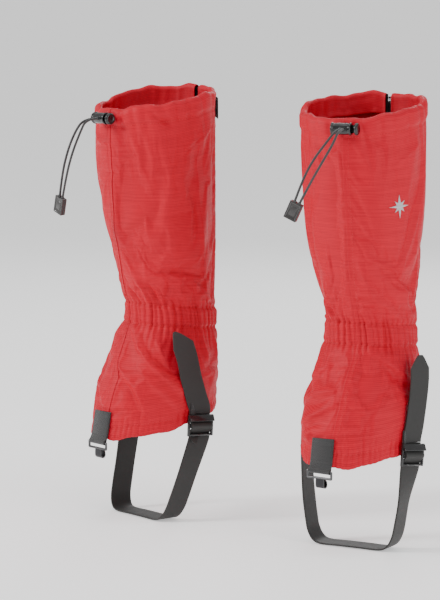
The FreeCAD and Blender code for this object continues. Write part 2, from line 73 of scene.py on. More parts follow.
def soft_light(name, place, power, wide, high):
    """A rectangular studio light that faces the pair's middle."""
    lamp = bpy.data.lights.new(name, "AREA")
    lamp.shape = "RECTANGLE"
    lamp.size = wide
    lamp.size_y = high
    lamp.energy = power
    holder = bpy.data.objects.new(name, lamp)
    holder.location = place
    holder.rotation_euler = (Vector(place) - VIEW_AIM).to_track_quat("Z", "Y").to_euler()
    bpy.context.collection.objects.link(holder)


soft_light("front_light", (-1.9, -2.2, 1.9), 74.0, 0.7, 0.7)
soft_light("side_light", (2.6, -0.2, 1.0), 22.0, 0.5, 1.8)
soft_light("top_light", (0.2, -0.1, 2.6), 16.0, 1.6, 1.6)
soft_light("rear_light", (-1.2, 2.4, 1.6), 16.0, 1.2, 1.2)

surroundings = bpy.data.worlds.new("surroundings")
surroundings.use_nodes = True
surroundings.node_tree.nodes["Background"].inputs["Color"].default_value = (1, 1, 1, 1)
surroundings.node_tree.nodes["Background"].inputs["Strength"].default_value = 0.62
bpy.context.scene.world = surroundings


def finish(name, colour, roughness, metallic=0.0, **plain):
    """A material whose shader holds its constant values."""
    material = bpy.data.materials.new(name)
    material.use_nodes = True
    shader = material.node_tree.nodes["Principled BSDF"]
    shader.inputs["Base Color"].default_value = (*colour, 1)
    shader.inputs["Roughness"].default_value = roughness
    shader.inputs["Metallic"].default_value = metallic
    for socket, value in plain.items():
        shader.inputs[socket.replace("_", " ")].default_value = value
    return material


def save_mesh(name, shape, *materials, smooth=True):
    """A piece made of a finished bmesh."""
    mesh = bpy.data.meshes.new(name)
    shape.to_mesh(mesh)
    shape.free()
    for material in materials:
        mesh.materials.append(material)
    mesh.polygons.foreach_set("use_smooth", [smooth] * len(mesh.polygons))
    piece = bpy.data.objects.new(name, mesh)
    bpy.context.collection.objects.link(piece)
    return piece


floor = bmesh.new()
bmesh.ops.create_grid(floor, x_segments=2, y_segments=2, size=60.0)
bmesh.ops.translate(floor, verts=floor.verts, vec=(0, 0, -0.0012))
paper = finish("studio_paper", (0.95, 0.95, 0.95), 0.9, Emission_Color=(1, 1, 1, 1),
               Emission_Strength=0.45)
nodes, links = paper.node_tree.nodes, paper.node_tree.links
mottle = nodes.new("ShaderNodeTexNoise")
mottle.inputs["Scale"].default_value = 3.0
shade = nodes.new("ShaderNodeMapRange")
shade.inputs["To Min"].default_value = 0.86
shade.inputs["To Max"].default_value = 0.94
links.new(mottle.outputs["Fac"], shade.inputs["Value"])
links.new(shade.outputs["Result"], nodes["Principled BSDF"].inputs["Roughness"])
stage = save_mesh("studio_floor", floor, paper)

# ---- Drawcord ends -------------------------------------------------------------------------
# Each gaiter's elastic drawcord leaves its barrel lock as two free 3 mm ends that stand out and
# then hang down the front. They are round elastic in a braided nylon sleeve, clamped at the foot.
CORD = 0.003
STRANDS = {
    "left_cord_strand_a": (0.1148, [
        (0.1919, -0.0779, 0.5133), (0.1985, -0.0947, 0.5133), (0.1932, -0.1054, 0.4993),
        (0.1800, -0.1143, 0.4783), (0.1681, -0.1195, 0.4533), (0.1586, -0.1212, 0.4293),
    ]),
    "left_cord_strand_b": (0.1154, [
        (0.1949, -0.0767, 0.5133), (0.2012, -0.0925, 0.5133), (0.2004, -0.1020, 0.4978),
        (0.1905, -0.1107, 0.4753), (0.1772, -0.1165, 0.4503), (0.1641, -0.1190, 0.4268),
    ]),
    "right_cord_strand_a": (0.1234, [
        (-0.1777, -0.1020, 0.5130), (-0.1810, -0.1197, 0.5130), (-0.1876, -0.1286, 0.4980),
        (-0.1983, -0.1317, 0.4730), (-0.2088, -0.1308, 0.4430), (-0.2163, -0.1274, 0.4150),
    ]),
    "right_cord_strand_b": (0.1239, [
        (-0.1745, -0.1026, 0.5130), (-0.1776, -0.1193, 0.5130), (-0.1795, -0.1286, 0.4965),
        (-0.1881, -0.1341, 0.4710), (-0.1992, -0.1336, 0.4410), (-0.2104, -0.1285, 0.4135),
    ]),
}


def cord_curve(name, points, thickness):
    """A smooth round cord along its points."""
    curve = bpy.data.curves.new(name, "CURVE")
    curve.dimensions = "3D"
    line = curve.splines.new("NURBS")
    line.points.add(len(points) - 1)
    for knot, point in zip(line.points, points):
        knot.co = (*point, 1)
    line.order_u = 3
    line.use_endpoint_u = True
    line.resolution_u = 20
    curve.bevel_depth = thickness / 2
    curve.bevel_resolution = 3
    curve.use_fill_caps = thickness > 0
    return bpy.data.objects.new(name, curve)


def mesh_of(holder):
    """The mesh of a curve, and the curve is put away."""
    mesh = bpy.data.meshes.new_from_object(holder)
    bpy.data.objects.remove(holder)
    return mesh


def braided(name, mesh, material):
    """A cord piece with the braid's finish, shaded smooth."""
    mesh.materials.clear()
    mesh.materials.append(material)
    mesh.polygons.foreach_set("use_smooth", [True] * len(mesh.polygons))
    piece = bpy.data.objects.new(name, mesh)
    bpy.context.collection.objects.link(piece)
    return piece


def waves(nodes, links, source, across, along, phase=0.0):
    """Parallel ribs over a UV map: the cosine of across times u plus along times v."""
    split = nodes.new("ShaderNodeSeparateXYZ")
    links.new(source, split.inputs["Vector"])
    side = nodes.new("ShaderNodeMath")
    side.operation = "MULTIPLY_ADD"
    side.inputs[1].default_value = across * 2 * math.pi
    side.inputs[2].default_value = phase
    links.new(split.outputs["X"], side.inputs[0])
    run = nodes.new("ShaderNodeMath")
    run.operation = "MULTIPLY_ADD"
    run.inputs[1].default_value = along * 2 * math.pi
    links.new(split.outputs["Y"], run.inputs[0])
    links.new(side.outputs["Value"], run.inputs[2])
    rib = nodes.new("ShaderNodeMath")
    rib.operation = "COSINE"
    links.new(run.outputs["Value"], rib.inputs[0])
    return rib.outputs["Value"]


def calculate(nodes, links, operation, first, second):
    """One step of arithmetic on two sockets or numbers."""
    step = nodes.new("ShaderNodeMath")
    step.operation = operation
    for socket, value in zip(step.inputs, (first, second)):
        if isinstance(value, (int, float)):
            socket.default_value = value
        else:
            links.new(value, socket)
    return step.outputs["Value"]


def scale_to(nodes, links, value, low, high, from_low=0.0, from_high=1.0):
    """A value moved from one range to another."""
    ranged = nodes.new("ShaderNodeMapRange")
    ranged.inputs["From Min"].default_value = from_low
    ranged.inputs["From Max"].default_value = from_high
    ranged.inputs["To Min"].default_value = low
    ranged.inputs["To Max"].default_value = high
    links.new(value, ranged.inputs["Value"])
    return ranged.outputs["Result"]


def two_tones(nodes, links, factor, first, second):
    """A colour between two, by a factor over the surface."""
    mix = nodes.new("ShaderNodeMix")
    mix.data_type = "RGBA"
    links.new(factor, mix.inputs["Factor"])
    mix.inputs["A"].default_value = (*first, 1)
    mix.inputs["B"].default_value = (*second, 1)
    return mix.outputs["Result"]


def relief(material, height, strength, depth):
    """Joins a height in units of its depth in metres to the shader's normal."""
    nodes, links = material.node_tree.nodes, material.node_tree.links
    bump = nodes.new("ShaderNodeBump")
    bump.inputs["Strength"].default_value = strength
    bump.inputs["Distance"].default_value = depth
    links.new(height, bump.inputs["Height"])
    links.new(bump.outputs["Normal"], nodes["Principled BSDF"].inputs["Normal"])


cord_black = finish("braided_cord", (0.012, 0.012, 0.013), 0.55, Sheen_Weight=0.25)
nodes, links = cord_black.node_tree.nodes, cord_black.node_tree.links
map_node = nodes.new("ShaderNodeUVMap")
strand_one = waves(nodes, links, map_node.outputs["UV"], 70.0, 4.0)
strand_two = waves(nodes, links, map_node.outputs["UV"], 70.0, -4.0)
plait = calculate(nodes, links, "MAXIMUM", strand_one, strand_two)
tone = scale_to(nodes, links, plait, 0.0, 1.0, -1.0, 1.0)
links.new(two_tones(nodes, links, tone, (0.004, 0.004, 0.004), (0.03, 0.03, 0.031)),
          nodes["Principled BSDF"].inputs["Base Color"])
relief(cord_black, plait, 0.6, 0.0003)

cord_ends = {}
for name, (length, route) in STRANDS.items():
    line = mesh_of(cord_curve(name + "_line", route, 0.0))
    path = [v.co.copy() for v in line.vertices]
    piece = braided(name + "_braid", mesh_of(cord_curve(name, route, CORD)), cord_black)
    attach(piece, name.split("_")[0] + "_gaiter")
    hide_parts(name)
    cord_ends[name] = (piece, length, route, path)

# ---- Cord ends -----------------------------------------------------------------------------
# A two-part moulded clamp bites both cords below their cut ends. It is glossy black plastic with
# softened edges, a sunk panel on each face and a fine parting line round its middle.
END_WIDE = 0.016
END_LONG = 0.022
END_THICK = 0.007


def marks_and_edge_highlights():
    """Shared group: fine grain, soft blotches, and edges lightened as wear and painted highlight, from the
    place on the piece.
    """
    group = bpy.data.node_groups.new("marks_and_edge_highlights", "ShaderNodeTree")
    group.interface.new_socket("Grain Scale", in_out="INPUT", socket_type="NodeSocketFloat")
    group.interface.new_socket("Blotch Scale", in_out="INPUT", socket_type="NodeSocketFloat")
    group.interface.new_socket("Wear_And_Highlight", in_out="OUTPUT", socket_type="NodeSocketFloat")
    group.interface.new_socket("Blotch", in_out="OUTPUT", socket_type="NodeSocketFloat")
    group.interface.new_socket("Grain", in_out="OUTPUT", socket_type="NodeSocketFloat")
    nodes, links = group.nodes, group.links
    entry = nodes.new("NodeGroupInput")
    leave = nodes.new("NodeGroupOutput")
    place = nodes.new("ShaderNodeTexCoord")
    grain = nodes.new("ShaderNodeTexNoise")
    grain.inputs["Detail"].default_value = 3.0
    blotch = nodes.new("ShaderNodeTexNoise")
    blotch.inputs["Detail"].default_value = 4.0
    for texture, socket in ((grain, "Grain Scale"), (blotch, "Blotch Scale")):
        links.new(place.outputs["Object"], texture.inputs["Vector"])
        links.new(entry.outputs[socket], texture.inputs["Scale"])
    point = nodes.new("ShaderNodeNewGeometry")
    # Convex edges, found by pointiness and broken up by blotches, get a lighter colour: partly wear, partly a
    # painted highlight.
    edge = scale_to(nodes, links, point.outputs["Pointiness"], 0.0, 1.0, 0.52, 0.6)
    wear_and_highlight = calculate(nodes, links, "MULTIPLY", edge, blotch.outputs["Fac"])
    links.new(wear_and_highlight, leave.inputs["Wear_And_Highlight"])
    links.new(blotch.outputs["Fac"], leave.inputs["Blotch"])
    links.new(grain.outputs["Fac"], leave.inputs["Grain"])
    return group


MARKS = marks_and_edge_highlights()


def moulded(name, dark, wear_and_highlight, smooth, rough, grain_scale, depth, **plain):
    """Moulded plastic or coated metal: its colour lightens on edges as wear and painted highlight, its gloss
    is uneven.
    """
    material = finish(name, dark, smooth, **plain)
    nodes, links = material.node_tree.nodes, material.node_tree.links
    marks = nodes.new("ShaderNodeGroup")
    marks.node_tree = MARKS
    marks.inputs["Grain Scale"].default_value = grain_scale
    marks.inputs["Blotch Scale"].default_value = grain_scale / 12
    shader = nodes["Principled BSDF"].inputs
    # Lighter colour on the edges: wear together with a painted edge highlight.
    links.new(two_tones(nodes, links, marks.outputs["Wear_And_Highlight"], dark, wear_and_highlight), shader["Base Color"])
    links.new(scale_to(nodes, links, marks.outputs["Blotch"], smooth, rough), shader["Roughness"])
    relief(material, marks.outputs["Grain"], 0.35, depth)
    return material


gloss_black = moulded("gloss_black_plastic", (0.004, 0.004, 0.0045), (0.035, 0.035, 0.035), 0.14, 0.34,
                      1500.0, 0.00006, Coat_Weight=0.25)
clamp_grey = moulded("clamp_plastic", (0.016, 0.014, 0.0135), (0.12, 0.115, 0.115), 0.18, 0.40,
                     1300.0, 0.00007, Coat_Weight=0.2)


def block(shape, low, high, matrix=None):
    """Adds a box between two corners to a bmesh and returns its vertices."""
    low, high = Vector(low), Vector(high)
    made = bmesh.ops.create_cube(shape, size=1.0)["verts"]
    size = high - low
    bmesh.ops.scale(shape, verts=made, vec=size)
    bmesh.ops.translate(shape, verts=made, vec=(low + high) / 2)
    if matrix:
        bmesh.ops.transform(shape, verts=made, matrix=matrix)
    return made


def soften(shape, made, radius, segments=2):
    """Rounds every edge of the given vertices."""
    edges = list({e for v in made for e in v.link_edges})
    return bmesh.ops.bevel(shape, geom=edges, offset=radius, offset_type="OFFSET", affect="EDGES",
                           segments=segments, profile=0.5, material=-1, clamp_overlap=True)


for side in ("left", "right"):
    ends = [cord_ends[f"{side}_cord_strand_{k}"] for k in "ab"]
    feet = [Vector(route[-1]) for _, _, route, _ in ends]
    knees = [Vector(route[-2]) for _, _, route, _ in ends]
    down = (feet[0] + feet[1] - knees[0] - knees[1]).normalized()
    across = feet[1] - feet[0]
    across = (across - down * across.dot(down)).normalized()
    out = across.cross(down)
    top = (feet[0] + feet[1]) / 2
    top += down * max((foot - top).dot(down) for foot in feet)
    seat = Matrix((
        (across.x, out.x, -down.x, top.x),
        (across.y, out.y, -down.y, top.y),
        (across.z, out.z, -down.z, top.z),
        (0, 0, 0, 1),
    ))
    clamp = bmesh.new()
    for face in (-1, 1):
        gap = 0.00012 * face
        made = block(clamp, (-END_WIDE / 2, min(gap, face * END_THICK / 2), -END_LONG),
                     (END_WIDE / 2, max(gap, face * END_THICK / 2), 0.0))
        front = max((f for f in {f for v in made for f in v.link_faces}),
                    key=lambda f: f.calc_center_median().y * face)
        inner = bmesh.ops.inset_region(clamp, faces=[front], thickness=0.0026, depth=0.0)
        bmesh.ops.inset_region(clamp, faces=[front], thickness=0.0006, depth=-0.0008)
        made = list({v for f in inner["faces"] for v in f.verts} | set(made) | set(front.verts))
        soften(clamp, made, 0.0008, 3)
    made = block(clamp, (-END_WIDE / 2 + 0.0035, -0.0032, -END_LONG + 0.005),
                 (END_WIDE / 2 - 0.0035, 0.0032, -0.005))
    soften(clamp, made, 0.0012, 3)
    for x in (-0.003, 0.003):
        made = bmesh.ops.create_cone(clamp, cap_ends=True, segments=20, radius1=0.0024,
                                     radius2=0.0021, depth=0.0012)["verts"]
        bmesh.ops.translate(clamp, verts=made, vec=(x, 0, 0.0006))
    bmesh.ops.transform(clamp, verts=clamp.verts, matrix=seat)
    clamp_piece = save_mesh(side + "_cord_clamp", clamp, clamp_grey)
    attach(clamp_piece, side + "_gaiter")
    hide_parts(side + "_cord_end")

# ---- Sleeve panels -------------------------------------------------------------------------
# Each gaiter's sleeve is two panels of coated red nylon, lapped and stitched down the front and
# open at the back for the zip. Elastic gathers it at the ankle and hem, and the rim and hem are
# turned in as channels. The panels are shaped from their sections, then settled as cloth.
MM = 0.001
LEG_SPACING = 318.0
LEG_STAGGER = 20.0
TOE_OUT = math.radians(10.5)
RIM = 538.0
HEM = 124.0
BACK = 76.0
SHIN_LEAN = 7.0
SECTIONS = [
    (HEM, 68.0, 88.0, 0.19), (165.0, 68.0, 82.5, 0.10), (200.0, 65.0, 74.0, 0.01),
    (232.0, 60.0, 63.5, -0.07), (260.0, 55.5, 57.5, -0.10), (288.0, 58.0, 59.5, -0.09),
    (315.0, 61.5, 63.5, -0.06), (350.0, 66.5, 68.0, -0.01), (395.0, 71.0, 72.0, 0.04),
    (445.0, 74.0, 75.0, 0.09), (500.0, 75.5, 76.0, 0.15), (RIM, 76.0, 76.0, 0.18),
]
LEGS = {
    "left": {
        "sign": 1.0, "medial": -1.0, "hook": 187.0, "buckle": 95.2, "seed": 11,
        "seam": [(HEM, 176.5), (140, 175.5), (180, 170.5), (232, 168), (262, 168.5), (315, 170),
                 (400, 168), (450, 168.5), (505, 169.5), (526, 169), (RIM, 169)],
    },
    "right": {
        "sign": -1.0, "medial": 1.0, "hook": 180.0, "buckle": 79.5, "seed": 29,
        "seam": [(HEM, 181), (150, 174), (188, 171), (204, 180), (240, 188), (270, 193),
                 (300, 192), (336, 191), (360, 188), (393, 184), (435, 181), (470, 179),
                 (505, 180), (526, 180), (RIM, 180)],
    },
}
# Folds and creases: points (angle, height), lift in mm, reach to each side in mm
FOLDS = {
    "left": [
        ([(80, 446), (91, 410), (103, 376), (116, 330)], 3.6, 4.0, 13.0),
        ([(78, 352), (86, 322), (98, 286)], 2.8, 3.0, 9.0),
        ([(84, 498), (106, 487), (124, 474)], 1.8, 2.5, 7.0),
        ([(148, 514), (136, 500)], -2.2, 4.0, 5.0),
        ([(150, 238), (127, 226), (98, 210)], 2.6, 2.2, 9.0),
        ([(146, 230), (124, 217), (100, 202)], -1.8, 7.0, 5.0),
        ([(228, 184), (204, 194), (181, 199)], 3.2, 3.0, 8.0),
        ([(226, 176), (202, 185), (184, 191)], -3.0, 4.0, 5.0),
        ([(224, 161), (203, 174), (181, 184)], 3.4, 3.0, 8.0),
        ([(222, 153), (202, 164), (186, 170)], -2.6, 4.0, 5.0),
        ([(218, 148), (200, 156), (186, 158)], 2.8, 3.0, 6.0),
        ([(216, 140), (198, 146), (182, 143)], -2.2, 4.0, 4.0),
        ([(236, 208), (216, 214), (196, 224)], 2.4, 4.0, 10.0),
        ([(214, 296), (204, 281), (196, 272)], -2.6, 3.0, 4.0),
        ([(222, 300), (212, 286), (206, 276)], 2.2, 3.0, 7.0),
        ([(160, 352), (152, 318), (146, 286)], 2.0, 6.0, 12.0),
        ([(136, 330), (132, 300), (130, 282)], -1.8, 5.0, 8.0),
        ([(60, 236), (52, 214), (50, 190)], 2.4, 4.0, 10.0),
        ([(200, 440), (216, 400), (226, 352)], 2.0, 10.0, 16.0),
        ([(64, 205), (86, 188), (104, 180)], 2.0, 4.0, 8.0),
        ([(128, 455), (142, 420), (150, 382)], 1.4, 14.0, 18.0),
        ([(280, 420), (296, 380), (300, 330)], 3.0, 6.0, 14.0),
        ([(318, 300), (306, 330), (302, 372)], 2.4, 6.0, 12.0),
        ([(330, 190), (308, 206), (286, 226)], 2.8, 4.0, 10.0),
        ([(270, 150), (250, 176), (240, 206)], 2.4, 4.0, 9.0),
        ([(30, 200), (38, 226), (42, 244)], 2.2, 4.0, 8.0),
        ([(30, 440), (36, 390), (32, 330)], 2.2, 8.0, 14.0),
    ],
    "right": [
        ([(178, 242), (157, 221), (138, 205), (116, 186), (98, 166), (88, 152)], 3.6, 3.0, 10.0),
        ([(172, 250), (150, 224), (128, 206), (108, 190)], -2.2, 6.0, 6.0),
        ([(172, 200), (146, 178), (132, 152)], 2.8, 3.0, 9.0),
        ([(166, 192), (148, 170), (138, 150)], -1.8, 5.0, 5.0),
        ([(140, 191), (116, 169), (98, 147)], 2.8, 3.0, 8.0),
        ([(150, 240), (132, 222), (120, 206)], 1.8, 3.0, 8.0),
        ([(66, 200), (62, 193), (40, 187)], -2.0, 4.0, 4.0),
        ([(87, 240), (78, 222), (70, 206)], 2.4, 3.0, 7.0),
        ([(60, 240), (52, 220), (48, 202)], 2.2, 3.0, 8.0),
        ([(104, 466), (88, 478), (62, 494)], 3.2, 3.0, 11.0),
        ([(108, 462), (96, 474), (80, 482)], -2.6, 5.0, 4.0),
        ([(134, 530), (121, 518), (112, 508)], -2.6, 4.0, 5.0),
        ([(204, 508), (196, 496), (176, 490)], 2.0, 4.0, 7.0),
        ([(166, 470), (150, 476), (138, 448)], 1.8, 8.0, 12.0),
        ([(184, 366), (160, 384), (142, 398)], 3.0, 8.0, 16.0),
        ([(176, 342), (152, 364), (128, 384)], -2.8, 10.0, 12.0),
        ([(82, 430), (80, 374), (76, 310)], 3.0, 4.0, 14.0),
        ([(180, 296), (175, 282), (170, 272)], -3.0, 3.0, 4.0),
        ([(150, 300), (146, 283), (143, 272)], -3.2, 3.0, 4.5),
        ([(125, 306), (130, 288), (134, 274)], -2.6, 3.0, 5.0),
        ([(166, 312), (160, 292), (157, 276)], 2.4, 4.0, 8.0),
        ([(108, 320), (112, 298), (116, 280)], 2.4, 4.0, 9.0),
        ([(222, 236), (204, 222), (190, 200)], 3.0, 4.0, 10.0),
        ([(216, 180), (200, 176), (184, 160)], 2.4, 4.0, 8.0),
        ([(212, 440), (224, 400), (230, 340)], 2.4, 8.0, 16.0),
        ([(280, 430), (296, 380), (300, 320)], 3.0, 6.0, 14.0),
        ([(330, 190), (308, 206), (286, 226)], 2.8, 4.0, 10.0),
        ([(262, 150), (250, 180), (246, 208)], 2.6, 4.0, 9.0),
        ([(28, 210), (38, 232), (42, 246)], 2.2, 4.0, 8.0),
    ],
}
# Broad fullness of the cloth: angle, height, lift in mm, reach in degrees, reach in mm
FULLNESS = {
    "left": [(150, 200, 3.0, 40, 26), (60, 170, 4.0, 26, 30), (220, 215, 4.0, 26, 26),
             (214, 160, 3.5, 22, 22), (120, 305, 2.5, 40, 22), (215, 305, 2.5, 26, 20),
             (100, 420, 1.5, 30, 60), (300, 200, 3.0, 40, 30), (190, 470, 1.0, 30, 40)],
    "right": [(198, 292, 5.0, 30, 26), (214, 225, 3.0, 30, 20), (200, 180, 2.5, 26, 26),
              (96, 300, 2.5, 30, 24), (60, 190, 4.0, 26, 28), (120, 200, 2.0, 36, 24),
              (150, 430, 1.5, 30, 60), (300, 200, 3.0, 40, 30), (212, 490, 2.0, 24, 30)],
}


def section(height):
    """Half width, half depth and slope of the leg's section, on a smooth curve."""
    rows = SECTIONS
    i = max(k for k in range(len(rows) - 1) if rows[k][0] <= height or k == 0)
    low, high = rows[i], rows[i + 1]
    before, after = rows[max(i - 1, 0)], rows[min(i + 2, len(rows) - 1)]
    span = high[0] - low[0]
    t = (height - low[0]) / span
    found = []
    for k in (1, 2, 3):
        rise_low = (high[k] - before[k]) / (high[0] - before[0]) * span
        rise_high = (after[k] - low[k]) / (after[0] - low[0]) * span
        start = (2 * t**3 - 3 * t**2 + 1) * low[k] + (t**3 - 2 * t**2 + t) * rise_low
        found.append(start + (3 * t**2 - 2 * t**3) * high[k] + (t**3 - t**2) * rise_high)
    return found


LEVELS = np.arange(HEM, RIM + 0.5, 1.0)
SECTION_TABLE = np.array([section(level) for level in LEVELS])


def skin(side, angle, height, out):
    """Places on a gaiter's face, in metres: angle 0 is the back, 90 is +X and 180 the front."""
    angle, height, out = np.broadcast_arrays(np.float64(angle), np.float64(height), np.float64(out))
    wide, deep, slope = (np.interp(height, LEVELS, SECTION_TABLE[:, k]) for k in range(3))
    turn = np.radians(angle)
    level = np.clip(height, HEM, RIM)
    x = (wide + out) * np.sin(turn)
    y = BACK + SHIN_LEAN * (RIM - level) / (RIM - HEM) - deep + (deep + out) * np.cos(turn)
    z = height + slope * y
    sign = LEGS[side]["sign"]
    cos, sin = math.cos(sign * TOE_OUT), math.sin(sign * TOE_OUT)
    return MM * np.stack([
        x * cos - y * sin + sign * LEG_SPACING / 2,
        x * sin + y * cos + sign * LEG_STAGGER / 2,
        z,
    ], axis=-1)


def seam_at(side, height):
    """The angle of the front seam at a height."""
    points = LEGS[side]["seam"]
    return np.interp(height, [p[0] for p in points], [p[1] for p in points])


def near_line(angle, height, points):
    """Signed distance from a line of (angle, height) points in mm, and how far along it, 0 to 1."""
    best = np.full(angle.shape, 1e9)
    signed = np.zeros(angle.shape)
    along = np.zeros(angle.shape)
    flat = [(a * 1.2, h) for a, h in points]
    lengths = [math.dist(p, q) for p, q in zip(flat, flat[1:])]
    done = 0.0
    for (p, q), length in zip(zip(flat, flat[1:]), lengths):
        ux, uy = (q[0] - p[0]) / length, (q[1] - p[1]) / length
        dx, dy = angle * 1.2 - p[0], height - p[1]
        t = np.clip(dx * ux + dy * uy, 0, length)
        gap = np.hypot(dx - ux * t, dy - uy * t)
        nearer = gap < best
        best = np.where(nearer, gap, best)
        signed = np.where(nearer, np.sign(dx * uy - dy * ux) * gap, signed)
        along = np.where(nearer, (done + t) / sum(lengths), along)
        done += length
    return signed, along


def gather(angle, height, low, high, pitch, depth, reach, lean, draw, seed):
    """Puckers drawn up by elastic between two heights: sharp valleys that fade above and below."""
    luck = random.Random(seed)
    total = np.zeros(angle.shape)
    spot = 6.0
    middle = (low + high) / 2
    while spot < 354.0:
        strength = depth * luck.uniform(0.45, 1.15)
        up, dip = luck.uniform(*reach), luck.uniform(*reach)
        bend = lean + luck.uniform(-0.06, 0.06)
        width = pitch * luck.uniform(0.17, 0.27)
        spread = 1.0 + np.maximum(height - high, 0) / 26.0 + np.maximum(low - height, 0) / 26.0
        fade = np.exp(-(np.maximum(height - high, 0) / up) ** 1.5)
        fade = fade * np.exp(-(np.maximum(low - height, 0) / dip) ** 1.5)
        away = (angle - spot - bend * (height - middle)) / (width * spread)
        total -= strength * fade * np.exp(-away**2)
        spot += pitch * luck.uniform(0.7, 1.3)
    for edge in (low, high):
        total -= draw * np.exp(-((height - edge) / 2.6) ** 2)
    return total


def window(value, low, high, edge):
    """1 between two values and 0 well outside them."""
    return np.clip((value - low) / edge + 1, 0, 1) * np.clip((high - value) / edge + 1, 0, 1)


def lift(side, angle, height):
    """How far the cloth stands off its plain section, in mm, with its folds and gathers."""
    leg = LEGS[side]
    seed = leg["seed"]
    out = gather(angle, height, 247.0, 273.0, 7.4, 2.9, (6.0, 30.0), 0.14, 1.3, seed)
    out += 1.5 * window(height, 252, 268, 5)
    out += gather(angle, height, HEM - 2, HEM + 13, 5.4, 1.5, (3.0, 20.0), 0.0, 0.9, seed + 1)
    out += gather(angle, height, RIM - 23, RIM + 3, 15.0, 2.2, (8.0, 44.0), 0.1, 0.5, seed + 2)
    seam = seam_at(side, height)
    out += 1.8 * window(height, RIM - 18, RIM - 6, 6)
    for a, h, amount, wide, tall in FULLNESS[side]:
        out += amount * np.exp(-((angle - a) / wide) ** 2 - ((height - h) / tall) ** 2)
    for points, amount, before, after in FOLDS[side]:
        gap, along = near_line(angle, height, points)
        reach = np.where(gap < 0, before, after)
        taper = np.sin(np.pi * np.clip(0.08 + 0.84 * along, 0, 1)) ** 0.7
        out += 1.5 * amount * taper * np.exp(-np.abs(gap / reach) ** 1.6)
    luck = random.Random(seed + 3)
    for _ in range(26):
        a, h = luck.uniform(15, 345), luck.uniform(HEM + 25, RIM - 30)
        tilt, size = luck.uniform(-1.2, 1.2), luck.uniform(18, 46)
        line = [(a - size * 0.4 * math.cos(tilt), h - size * math.sin(tilt) * 0.8),
                (a + size * 0.4 * math.cos(tilt), h + size * math.sin(tilt) * 0.8)]
        gap, along = near_line(angle, height, line)
        reach = np.where(gap < 0, luck.uniform(3, 6), luck.uniform(7, 14))
        out += luck.uniform(-1.9, 1.9) * np.sin(np.pi * np.clip(along, 0.05, 0.95)) * np.exp(
            -np.abs(gap / reach) ** 1.7)
    # The lapped seam draws the cloth in, and puckers it a little.
    gap = (angle - seam) * 1.15
    out -= 0.9 * np.exp(-(gap / 2.2) ** 2) * (1 + 0.35 * np.sin(height * 1.9))
    # Cloth lies flat under what is sewn on it, and along the zip.
    flats = [
        (leg["hook"], 15.0, HEM - 9, HEM + 30, 0.2), (leg["buckle"], 15.0, HEM - 9, HEM + 52, 0.6),
        (360.0 - leg["buckle"], 11.0, HEM - 9, HEM + 27, 0.2), (169.0 if side == "left" else 180.0,
         9.0, RIM - 26, RIM + 4, -0.4),
    ]
    tab = (0.0, 47.0) if leg["medial"] > 0 else (313.0, 360.0)
    flats.append(((tab[0] + tab[1]) / 2, 24.0, 497.0, 526.0, 0.1))
    for centre, half, low, high, most in flats:
        weight = window(angle, centre - half, centre + half, 5.0) * window(height, low, high, 6.0)
        out = out * (1 - weight) + np.minimum(out, most) * weight
    edge = np.minimum(angle, 360.0 - angle) * 1.25
    weight = np.clip((edge - 6.0) / 16.0, 0, 1)
    return out * weight


def cloth_place(side, angle, height, inner=0.0, depth=1.0):
    """Where a point of the cloth is before it settles."""
    level = np.clip(height, HEM, RIM)
    out = lift(side, angle, level) * depth - inner
    rim = np.clip((height - (RIM - 70)) / 70, 0, 1) ** 2
    turn = np.radians(angle)
    seed = LEGS[side]["seed"]
    ripple = (1.8 * np.sin(2 * turn + seed) + 1.4 * np.sin(5 * turn + 2 * seed)
              + 1.0 * np.sin(9 * turn + seed) + 0.6 * np.sin(17 * turn))
    ripple = ripple * np.clip(np.abs(angle - seam_at(side, RIM)) / 10 - 0.8, 0, 1)
    hem = np.clip((HEM + 40 - height) / 40, 0, 1) ** 2
    sway = 1.2 * np.sin(7 * turn + seed) + 0.8 * np.sin(13 * turn)
    return skin(side, angle, level, out) + MM * np.stack(
        [0 * level, 0 * level, rim * ripple + hem * sway + (height - level)], axis=-1)


def weave_group():
    """Shared group: plain weave with slubs and fine cross ribs, from a UV map in metres."""
    group = bpy.data.node_groups.new("plain_weave", "ShaderNodeTree")
    for socket in ("Threads", "Ribs"):
        group.interface.new_socket(socket, in_out="INPUT", socket_type="NodeSocketFloat")
    for socket in ("Height", "Tone"):
        group.interface.new_socket(socket, in_out="OUTPUT", socket_type="NodeSocketFloat")
    nodes, links = group.nodes, group.links
    entry = nodes.new("NodeGroupInput")
    leave = nodes.new("NodeGroupOutput")
    cloth = nodes.new("ShaderNodeUVMap")
    split = nodes.new("ShaderNodeSeparateXYZ")
    links.new(cloth.outputs["UV"], split.inputs["Vector"])
    warp = calculate(nodes, links, "MULTIPLY", split.outputs["X"], entry.outputs["Threads"])
    weft = calculate(nodes, links, "MULTIPLY", split.outputs["Y"], entry.outputs["Threads"])
    warp = calculate(nodes, links, "SINE", warp, 0.0)
    weft = calculate(nodes, links, "SINE", weft, 0.0)
    over = calculate(nodes, links, "MULTIPLY", warp, weft)
    stretch = nodes.new("ShaderNodeMapping")
    stretch.inputs["Scale"].default_value = (22.0, 420.0, 1.0)
    links.new(cloth.outputs["UV"], stretch.inputs["Vector"])
    slub = nodes.new("ShaderNodeTexNoise")
    slub.inputs["Scale"].default_value = 1.0
    slub.inputs["Detail"].default_value = 3.0
    links.new(stretch.outputs["Vector"], slub.inputs["Vector"])
    rib = calculate(nodes, links, "MULTIPLY", split.outputs["Y"], entry.outputs["Ribs"])
    rib = calculate(nodes, links, "SINE", rib, 0.0)
    rib = calculate(nodes, links, "MULTIPLY", rib, 0.35)
    total = calculate(nodes, links, "ADD", over, slub.outputs["Fac"])
    links.new(calculate(nodes, links, "ADD", total, rib), leave.inputs["Height"])
    tone = calculate(nodes, links, "ADD", calculate(nodes, links, "MULTIPLY", rib, 0.5),
                     slub.outputs["Fac"])
    links.new(tone, leave.inputs["Tone"])
    return group


WEAVE = weave_group()


